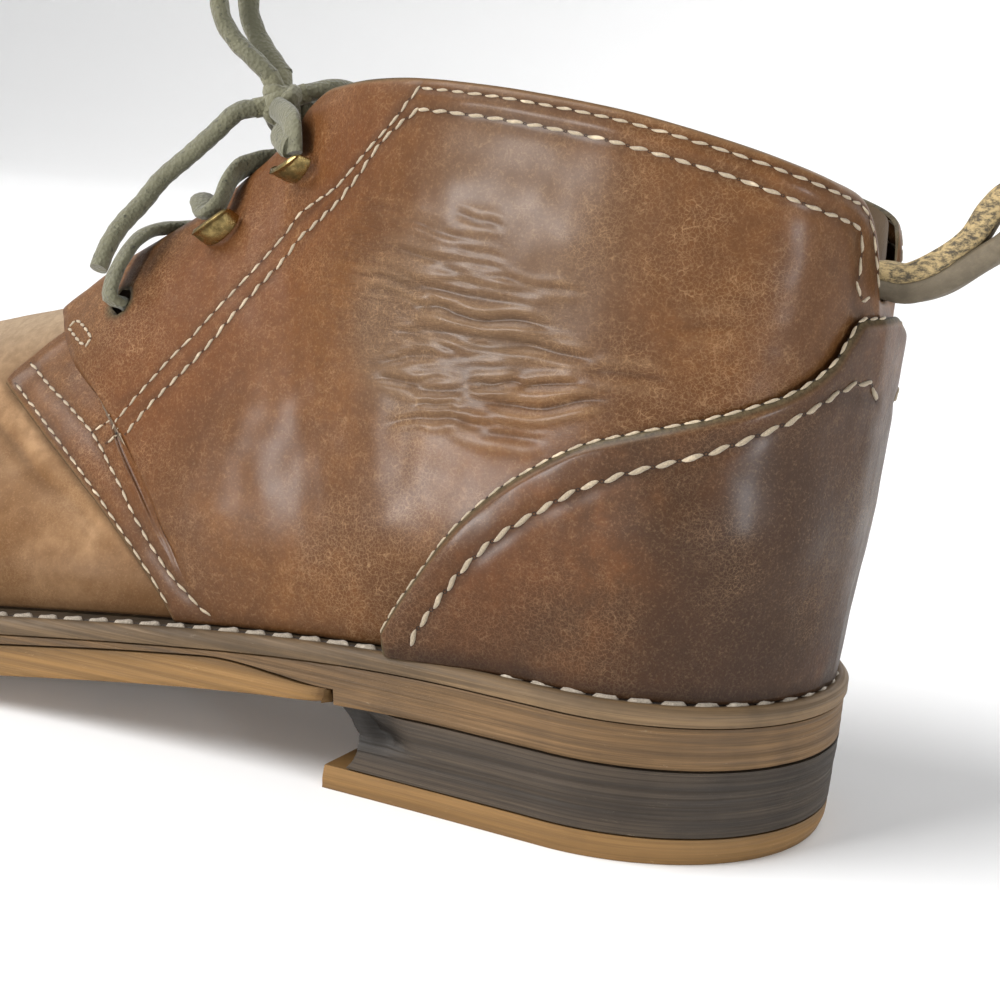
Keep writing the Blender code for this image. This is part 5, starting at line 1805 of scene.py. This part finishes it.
COUNTER_SWELLS = (
    # height in mm, width in mm, then foot share and share of the height, point by point
    (1.7, 8.5, ((0.108, 0.33), (0.085, 0.345), (0.062, 0.36))),
)
COUNTER_TONES_AND_SHADE = (
    # foot share, share of the height, radius, warmer or cooler; the cooler spots, darker towards
    # the back of the heel, are painted shade
    (0.030, 0.45, 0.020, -0.50),
    (0.055, 0.35, 0.018, -0.40),
    (0.100, 0.12, 0.022, -0.35),
    (0.150, 0.25, 0.012, 0.35),
    (0.185, 0.12, 0.012, 0.35),
    (0.110, 0.40, 0.010, 0.15),
)


def make_tongue():
    """The tongue under the facings, with a slight sag across the throat."""
    under = even_shares(0.70, 0.96, 12)
    across = 22
    grid = []
    shares = even_shares(0.250, 0.3225, 70)
    for q in shares:
        dip = ease((q - 0.295) / 0.0275)
        depth = LEATHER + 3 * GAP + 2 * VAMP_STEP * dip
        outer = [face_point(-1, q, t, -depth) for t in under]
        inner = [face_point(1, q, t, -depth) for t in under]
        bridge = []
        for k in range(1, across):
            share = k / across
            point = outer[-1].lerp(inner[-1], share)
            point.z += math.sin(math.pi * share) * 0.08 * THROAT_GAP * (1 - dip)
            point.z += 0.00025 * noise.noise(point / 0.006)
            bridge.append(point)
        grid.append(outer + bridge + inner[::-1])
    points = np.array(grid)
    n, m = points.shape[:2]
    size_of = n * m
    marks = {"soil": np.full(size_of, 0.25), "wear": np.zeros(size_of),
             "bare": np.zeros(size_of), "tone": np.full(size_of, 0.35),
             "fold": np.zeros(size_of)}
    mesh = built("tongue_leather", points.reshape(-1, 3), grid_quads(n, m, False), marks)
    tongue = new_piece("tongue_leather", mesh, finish("tongue"), finish("edge"))
    modifier = tongue.modifiers.new("thickness", "SOLIDIFY")
    modifier.thickness = TONGUE_THICKNESS
    modifier.offset = -1.0
    modifier.material_offset_rim = 1
    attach(tongue, "root")
    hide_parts("tongue")


# Fittings

def make_hooks():
    """Scoops of thin brass, open towards the throat."""
    for label, q, t in LACE_ROWS[1:]:
        for side, where in ((-1, "outer"), (1, "inner")):
            normal = face_normal(side, q, t)
            ahead = face_point(side, q - 0.01, t, 0.0) - face_point(side, q, t, 0.0)
            ahead = (ahead - normal * ahead.dot(normal)).normalized()
            away = normal.cross(ahead).normalized()
            if away.z > 0:
                away = -away
            seat = face_point(side, q - 0.0028, t - 0.010, 0.0)
            radius = HOOK_WIDTH / 2
            rise = LACE_DIAMETER + 2 * GAP
            turns, steps = 30, 12
            rows = []
            for i in range(turns + 1):
                turn = math.radians(-84 + 168 * i / turns)
                row = []
                tall = rise * (0.45 + 0.55 * math.cos(0.8 * turn))
                for j in range(steps + 1):
                    share = j / steps
                    close = 1 - 0.30 * share ** 2
                    lip = 0.00030 * ease((share - 0.80) / 0.20)
                    row.append(seat + ahead * (0.86 * radius * math.sin(turn))
                               + away * (radius * 0.62 * math.cos(turn) * close + lip)
                               + normal * (1.5 * GAP + HOOK_PLATE / 2 + tall * share))
                rows.append(row)
            mesh = built("hook", np.array(rows).reshape(-1, 3),
                         grid_quads(turns + 1, steps + 1, False))
            hook = new_piece("lace_hook_" + label + "_" + where, mesh, finish("brass"))
            thicken = hook.modifiers.new("plate", "SOLIDIFY")
            thicken.thickness = HOOK_PLATE
            thicken.offset = 0.0
            bevel = hook.modifiers.new("worn edge", "BEVEL")
            bevel.width = 0.00018
            bevel.segments = 2
            bevel.angle_limit = math.radians(50)
            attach(hook, "root")
            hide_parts("hook_" + label + "_" + where)


def make_strap():
    """The pull strap, folded on itself, at the bottom of the notch."""
    notch = Vector(skin_rows(-1, 0.0, [1.0])[0])
    scale = STRAP_LENGTH / 0.0269
    lift = GAP + STRAP_THICKNESS / 2 - 0.0007
    route = [Vector((notch.x + back * scale, 0.0, notch.z + up * scale + lift))
             for back, up in STRAP_ROUTE]

    def strap_section(share, turn):
        c, s = abs(math.cos(turn)), abs(math.sin(turn))
        square = (c ** 5 + s ** 5) ** (-1 / 5)
        fray = 1 + 0.05 * math.sin(37 * share) * math.cos(3 * turn)
        return STRAP_WIDTH / 2 * square * fray, 0.95 * STRAP_THICKNESS * square * fray

    spine = smooth_route(route, 0.0006)
    mesh = swept("strap", spine, strap_section, up=Vector((0, 0, 1)))
    upper_half = mesh.attributes.new("tone", "FLOAT", "POINT")
    per_ring = len(mesh.vertices) // len(spine)
    values = [ease((k // per_ring / len(spine) - 0.47) / 0.06) for k in range(len(mesh.vertices))]
    upper_half.data.foreach_set("value", values)
    strap = new_piece("heel_strap", mesh, finish("strap"))
    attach(strap, "root")
    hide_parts("pull_strap")


# Sole and heel

SOLE_STATIONS = plan_stations(turn=1.6, step=0.0013)
HEEL_STATIONS = plan_stations(HEEL_LENGTH, turn=1.6, step=0.0013)


def sole_loop(stations, tip):
    """Points, outward normals and distances once round the sole."""
    outer, inner = (side_line(side, 0.0, stations) for side in (-1, 1))
    loop = [(p, n, u, -1) for (p, n), u in zip(outer, stations)]
    back = [(p, n, u, 1) for (p, n), u in zip(inner, stations)][::-1]
    return loop + back[1 if tip else 0:-1]


def layer(name, stations, rows, relief, material, slot, *nodes, tip=True, hollow=False):
    """A layer of the sole from rows of inset and height, with relief on its side."""
    loop = sole_loop(stations, tip)
    count = len(loop)
    points, soil, wear = [], [], []
    for k, (inset, height) in enumerate(rows):
        for place, normal, u, side in loop:
            point = place - normal * inset
            point.z = height(u)
            push, dirt_and_shade, rub = relief(point, u, side, k / (len(rows) - 1))
            points.append(point + normal * push)
            soil.append(dirt_and_shade)
            wear.append(rub)
    faces = ring_quads(len(rows), count, wrap=hollow)
    if not hollow:
        n = len(stations)
        for base in (0, (len(rows) - 1) * count):
            for i in range(n - 1):
                inner_i = (count - i) % count
                inner_next = (count - i - 1) % count
                quad = [base + i, base + i + 1, base + inner_next, base + inner_i]
                quad = [v for at, v in enumerate(quad) if v not in quad[:at]]
                if len(quad) > 2:
                    faces.append(quad)
    mesh = built(name, points, faces, {"soil": np.clip(soil, 0, 1), "wear": np.clip(wear, 0, 1)},
                 closed=True)
    piece = new_piece(name, mesh, finish(material))
    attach(piece, "root")
    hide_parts(*nodes)


def wobble(point, size_of, seed):
    return noise.noise(point / size_of + Vector((seed, seed, 3 * seed)))


def groove(share, place, width):
    return math.exp(-((share - place) / width) ** 2)


def rasped(amount, seed):
    """Dents and level rasp marks in the side of a layer."""
    def relief(point, u, side, share):
        dent = min(0.0, wobble(point, 0.0065, seed) + 0.25)
        level = noise.noise(Vector((point.x * 25, point.y * 25, point.z * 1400 + seed)))
        push = amount * (0.45 * dent + 0.16 * level + 0.25 * wobble(point, 0.020, seed + 4))
        return push, max(0.0, -1.2 * dent), max(0.0, 0.5 * level - 0.25)
    return relief


def make_welt():
    """The welt, its stitching, and the grime and painted shadow along the foot of the upper."""
    t, w = WELT_THICKNESS, WELT_WIDTH
    profile = ((0.0002, -t), (0.0, -0.85 * t), (0.0, -0.55 * t), (0.0, -0.30 * t),
               (0.04 * w, -0.10 * t), (0.09 * w, -0.01 * t), (0.13 * w, -0.02 * t),
               (0.17 * w, -0.07 * t), (0.21 * w, -0.09 * t), (0.25 * w, -0.05 * t),
               (0.30 * w, 0.0), (0.36 * w, 0.0), (0.44 * w, 0.0), (0.60 * w, 0.0),
               (w, 0.0), (w, -t))
    rows = [(inset, lambda u, drop=drop: welt_top(u) + drop) for inset, drop in profile]
    rough = rasped(0.0003, 2.0)

    def relief(point, u, side, share):
        push, dirt_and_shade, rub = rough(point, u, side, share)
        inset = profile[round(share * (len(profile) - 1))][0]
        # Darker towards the toe.
        fore = ease((u - 0.030) / 0.050) * (0.16 + 0.20 * ease(u / 0.12))
        if inset > 0.5 * w:
            return 0.0, 0.0, 0.0
        # The welt's top beside the upper is darkened: grime and painted shadow.
        dirt_and_shade = max(dirt_and_shade * 0.5, 0.95 * ease((inset / w - 0.16) / 0.10), fore)
        return push * (1.0 if inset < 0.1 * w else 0.3), dirt_and_shade, rub

    layer("welt_strip", SOLE_STATIONS, rows, relief, "welt", "welt", "welt", hollow=True)
    seam = Seam(21)
    stations = plan_stations(turn=4.0, step=0.004)
    for side in (-1, 1):
        row = []
        for place, normal in side_line(side, 0.19 * w, stations):
            top = place.copy()
            top.z = welt_top(HEEL_RADIUS - place.x) - 0.08 * t
            row.append((top, Vector((0, 0, 1)) + normal * 0.15))
        row = [(a, b.normalized()) for a, b in row]
        seam.sew(row, sizes().welt_pitch, sizes().welt_thread, fill=0.84)
    seam.finish("welt_seam", "welt", "welt thread")


def make_midsole():
    """The streaked leather midsole, with a faint line between its two layers."""
    start = HEEL_LENGTH + GAP

    def low(u):
        if u < start:
            return sole_bottom(u)
        return sole_bottom(u) + outsole_thickness(u) + GAP

    def high(u):
        return welt_top(u) - WELT_THICKNESS - GAP

    shares = (0.0, 0.03, 0.12, 0.22, 0.32, 0.42, 0.47, 0.50, 0.53, 0.58, 0.68, 0.78, 0.88,
              0.97, 1.0)
    trims = {0.0: 0.0002, 1.0: 0.0001}
    rows = [(EDGE_TRIM + trims.get(share, 0.0),
             lambda u, share=share: low(u) + (high(u) - low(u)) * share) for share in shares]
    rough = rasped(0.00045, 6.0)

    def relief(point, u, side, share):
        push, dirt_and_shade, rub = rough(point, u, side, share)
        line = shares[round(share * (len(shares) - 1))]
        seam = 0.2 * groove(line, 0.5, 0.03) + 0.6 * groove(line, 0.0, 0.03)
        # Darker towards the toe.
        fore = ease((u - 0.030) / 0.050) * (0.14 + 0.20 * ease(u / 0.12))
        dirt_and_shade = max(dirt_and_shade * 0.5, 0.5 * min(seam, 1.0), fore)
        return push, dirt_and_shade, rub

    stations = sorted(set([u for u in SOLE_STATIONS if abs(u - start) > 0.0005]
                          + [start - GAP / 2, start + GAP / 2]))
    layer("midsole_layers", stations, rows, relief, "midsole", "midsole", "midsole")


def make_outsole():
    """The gum outsole in front of the heel."""
    start = HEEL_LENGTH + GAP
    stations = [start] + [u for u in SOLE_STATIONS if u > start + 0.0004]
    shares = (0.0, 0.05, 0.2, 0.35, 0.5, 0.65, 0.8, 0.95, 1.0)
    rows = [(EDGE_TRIM * (1.2 - 0.7 * share) + (0.0002 if share == 0.0 else 0.0),
             lambda u, share=share: sole_bottom(u) + outsole_thickness(u) * share)
            for share in shares]
    rough = rasped(0.00035, 9.0)

    def relief(point, u, side, share):
        push, dirt_and_shade, rub = rough(point, u, side, share)
        torn = math.exp(-((u - start) / 0.004) ** 2) * (side < 0)
        push -= 0.0022 * torn * (0.6 + 0.5 * wobble(point, 0.002, 1.0))
        dirt_and_shade = max(dirt_and_shade * 0.45, 0.6 * torn, 0.55 * ease((share - 0.55) / 0.45))
        return push, dirt_and_shade, rub

    layer("gum_outsole", stations, rows, relief, "gum", "outsole", "outsole")


def make_heel():
    """The stacked heel with its tan top lift."""
    base = TOP_LIFT_THICKNESS + GAP
    shares = (0.0, 0.03, 0.14, 0.26, 0.31, 0.34, 0.37, 0.46, 0.58, 0.64, 0.67, 0.70, 0.80,
              0.92, 0.98, 1.0)
    rough = rasped(0.00055, 12.0)

    def stack_relief(point, u, side, share):
        line = shares[round(share * (len(shares) - 1))]
        push, dirt_and_shade, rub = rough(point, u, side, share)
        seam = groove(line, 0.34, 0.022) + groove(line, 0.67, 0.022)
        hollow = BREAST_HOLLOW * math.sin(math.pi * (0.2 + 0.8 * line))
        back = ease((u - HEEL_RADIUS) / (HEEL_LENGTH - HEEL_RADIUS))
        torn = (side < 0) * ease((u - 0.058) / 0.008) * ease((line - 0.40) / 0.2)
        push -= 0.00012 * min(seam, 1.0) + 0.0030 * torn * (0.7 + 0.6 * wobble(point, 0.003, 2))
        point.x += hollow * back
        # Darker on the breast of the heel.
        inner = back ** 8 * ease((line - 0.2) / 0.3)
        return push, max(dirt_and_shade * 0.5, 0.3 * min(seam, 1.0), torn, inner), rub

    rows = [(EDGE_TRIM * (2 - share),
             lambda u, share=share: base + (sole_bottom(u) - GAP - base) * share)
            for share in shares]
    layer("heel_layers", HEEL_STATIONS, rows, stack_relief, "stack", "heel_stack",
          "heel_stack", tip=False)

    lift_shares = (0.0, 0.05, 0.2, 0.4, 0.6, 0.8, 0.95, 1.0)
    worn = rasped(0.0004, 15.0)

    def lift_relief(point, u, side, share):
        push, dirt_and_shade, rub = worn(point, u, side, share)
        back = ease((u - HEEL_RADIUS) / (HEEL_LENGTH - HEEL_RADIUS))
        point.x -= LIFT_LIP * back * (1 - 0.4 * share)
        low = ease((0.30 - share) / 0.3)
        return push, max(0.5 * dirt_and_shade, 0.35 * ease((share - 0.9) / 0.1), 0.45 * low), rub

    lift_rows = [(EDGE_TRIM * (2.0 + 2.0 * (1 - share) ** 3),
                  lambda u, share=share: TOP_LIFT_THICKNESS * share) for share in lift_shares]
    layer("tan_top_lift", HEEL_STATIONS, lift_rows, lift_relief, "gum", "top_lift", "top_lift",
          tip=False)


def finish_insole():
    """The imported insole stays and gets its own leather."""
    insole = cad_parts["insole"]
    insole.data.materials.clear()
    insole.data.materials.append(finish("insole"))


# Stage

def add_light(name, kind, power, ahead):
    data = bpy.data.lights.new(name, kind)
    data.energy = power
    lamp = bpy.data.objects.new(name, data)
    bpy.context.scene.collection.objects.link(lamp)
    lamp.rotation_euler = Vector(ahead).to_track_quat("-Z", "Y").to_euler()
    return lamp


STUDIO_RADIUS = 5.0
STUDIO_COVE = 1.2
STUDIO_WALL = 2.6
STUDIO_ROUND = 72
SUN_POWER = 3.1
SUN_WIDTH = math.radians(40)
SUN_AHEAD = (0.62, 0.48, -0.80)
SURROUND = 0.34
LAMP_TARGET = (-0.04, 0.0, 0.06)
LAMPS = (
    # name, place, power, width, colour
    ("key", (-0.48, -0.91, 0.12), 6.0, 0.18, (1.0, 1.0, 1.0)),
    ("window", (0.86, -0.52, 0.09), 3.4, 0.15, (0.86, 0.93, 1.0)),
    ("back", (0.25, 0.80, 0.80), 3.0, 0.6, (1.0, 1.0, 1.0)),
)


def make_stage():
    """A pale floor that curves up into a round wall, a soft sun and three soft lamps."""
    profile = [(0.0, 0.0), (0.5, 0.0), (2.0, 0.0)]
    for k in range(9):
        turn = math.radians(90 * k / 8)
        profile.append((STUDIO_RADIUS - STUDIO_COVE * (1 - math.sin(turn)),
                        STUDIO_COVE * (1 - math.cos(turn))))
    profile.append((STUDIO_RADIUS, STUDIO_WALL))
    points = [(0.0, 0.0, 0.0)]
    for radius, height in profile[1:]:
        for k in range(STUDIO_ROUND):
            turn = 2 * math.pi * k / STUDIO_ROUND
            points.append((radius * math.cos(turn), radius * math.sin(turn), height))
    faces = [(0, 1 + k, 1 + (k + 1) % STUDIO_ROUND) for k in range(STUDIO_ROUND)]
    for i in range(len(profile) - 2):
        a = 1 + i * STUDIO_ROUND
        for k in range(STUDIO_ROUND):
            n = (k + 1) % STUDIO_ROUND
            faces.append((a + k, a + STUDIO_ROUND + k, a + STUDIO_ROUND + n, a + n))
    mesh = bpy.data.meshes.new("studio_floor")
    mesh.from_pydata(points, [], faces)
    mesh.shade_smooth()
    material = bpy.data.materials.new("studio_floor")
    material.use_nodes = True
    shader = material.node_tree.nodes["Principled BSDF"]
    shader.inputs["Base Color"].default_value = (*shade("floor"), 1.0)
    shader.inputs["Roughness"].default_value = 1.0
    shader.inputs["Specular IOR Level"].default_value = 0.1
    floor = new_piece("studio_floor", mesh, material)
    sun = add_light("soft_sun", "SUN", SUN_POWER, SUN_AHEAD)
    sun.data.angle = SUN_WIDTH
    for name, place, power, width, colour in LAMPS:
        lamp = add_light(name, "AREA", power, Vector(LAMP_TARGET) - Vector(place))
        lamp.location = place
        lamp.data.size = width
        lamp.data.color = colour
    world = bpy.data.worlds.new("studio_surround")
    world.use_nodes = True
    world.node_tree.nodes["Background"].inputs["Color"].default_value = (1.0, 1.0, 1.0, 1.0)
    world.node_tree.nodes["Background"].inputs["Strength"].default_value = SURROUND
    bpy.context.scene.world = world
    bpy.context.scene.view_settings.view_transform = "Standard"


# Operators and panel

class MakeStep:
    """Runs a step's makers in turn."""

    makers = ()

    def execute(self, context):
        for make in self.makers:
            make()
        return {"FINISHED"}


class MakeLaces(MakeStep, bpy.types.Operator):
    """Places the camera, then makes the laces, their knot, loops and ends."""

    bl_idname = "boot.make_laces"
    bl_label = "Laces"
    makers = (place_camera, make_cords, make_crossings)


class MakeQuarters(MakeStep, bpy.types.Operator):
    """Makes the creased quarters with their seams and lace holes."""

    bl_idname = "boot.make_quarters"
    bl_label = "Quarters"
    makers = (make_quarters,)


class MakeVamp(MakeStep, bpy.types.Operator):
    """Makes the vamp, the tongue and the lining."""

    bl_idname = "boot.make_vamp"
    bl_label = "Vamp, tongue and lining"
    makers = (make_vamp, make_tongue, make_lining)


class MakeCounter(MakeStep, bpy.types.Operator):
    """Makes the heel counter with its thick seam."""

    bl_idname = "boot.make_counter"
    bl_label = "Heel counter"
    makers = (make_counter,)


class MakeFittings(MakeStep, bpy.types.Operator):
    """Makes the brass lace hooks and the pull strap."""

    bl_idname = "boot.make_fittings"
    bl_label = "Hooks and pull strap"
    makers = (make_hooks, make_strap)


class MakeSole(MakeStep, bpy.types.Operator):
    """Makes the welt, midsole, outsole and heel, and finishes the insole."""

    bl_idname = "boot.make_sole"
    bl_label = "Sole and heel"
    makers = (make_welt, make_midsole, make_outsole, make_heel, finish_insole)


class MakeStage(MakeStep, bpy.types.Operator):
    """Makes the studio floor and its lights."""

    bl_idname = "boot.make_stage"
    bl_label = "Studio"
    makers = (make_stage,)


STEPS = (MakeLaces, MakeQuarters, MakeVamp, MakeCounter, MakeFittings, MakeSole, MakeStage)


class BootPanel(bpy.types.Panel):
    """Lists the boot's pieces, sizes and colours in the 3D view's sidebar."""

    bl_idname = "VIEW3D_PT_boot"
    bl_label = "Worn chukka boot"
    bl_space_type = "VIEW_3D"
    bl_region_type = "UI"
    bl_category = "Boot"

    def draw(self, context):
        layout = self.layout
        for step in STEPS:
            layout.operator(step.bl_idname)
        for group in (context.scene.boot_sizes, context.scene.boot_colours):
            box = layout.box()
            for name in group.__annotations__:
                box.prop(group, name)


CLASSES = (BootSizes, BootColours, *STEPS, BootPanel)


def register():
    for made in CLASSES:
        bpy.utils.register_class(made)
    bpy.types.Scene.boot_sizes = bpy.props.PointerProperty(type=BootSizes)
    bpy.types.Scene.boot_colours = bpy.props.PointerProperty(type=BootColours)


def unregister():
    del bpy.types.Scene.boot_colours
    del bpy.types.Scene.boot_sizes
    for made in reversed(CLASSES):
        bpy.utils.unregister_class(made)


def main():
    register()
    bpy.ops.boot.make_laces()
    bpy.ops.boot.make_quarters()
    bpy.ops.boot.make_vamp()
    bpy.ops.boot.make_counter()
    bpy.ops.boot.make_fittings()
    bpy.ops.boot.make_sole()
    bpy.ops.boot.make_stage()


if __name__ == "__main__":
    main()
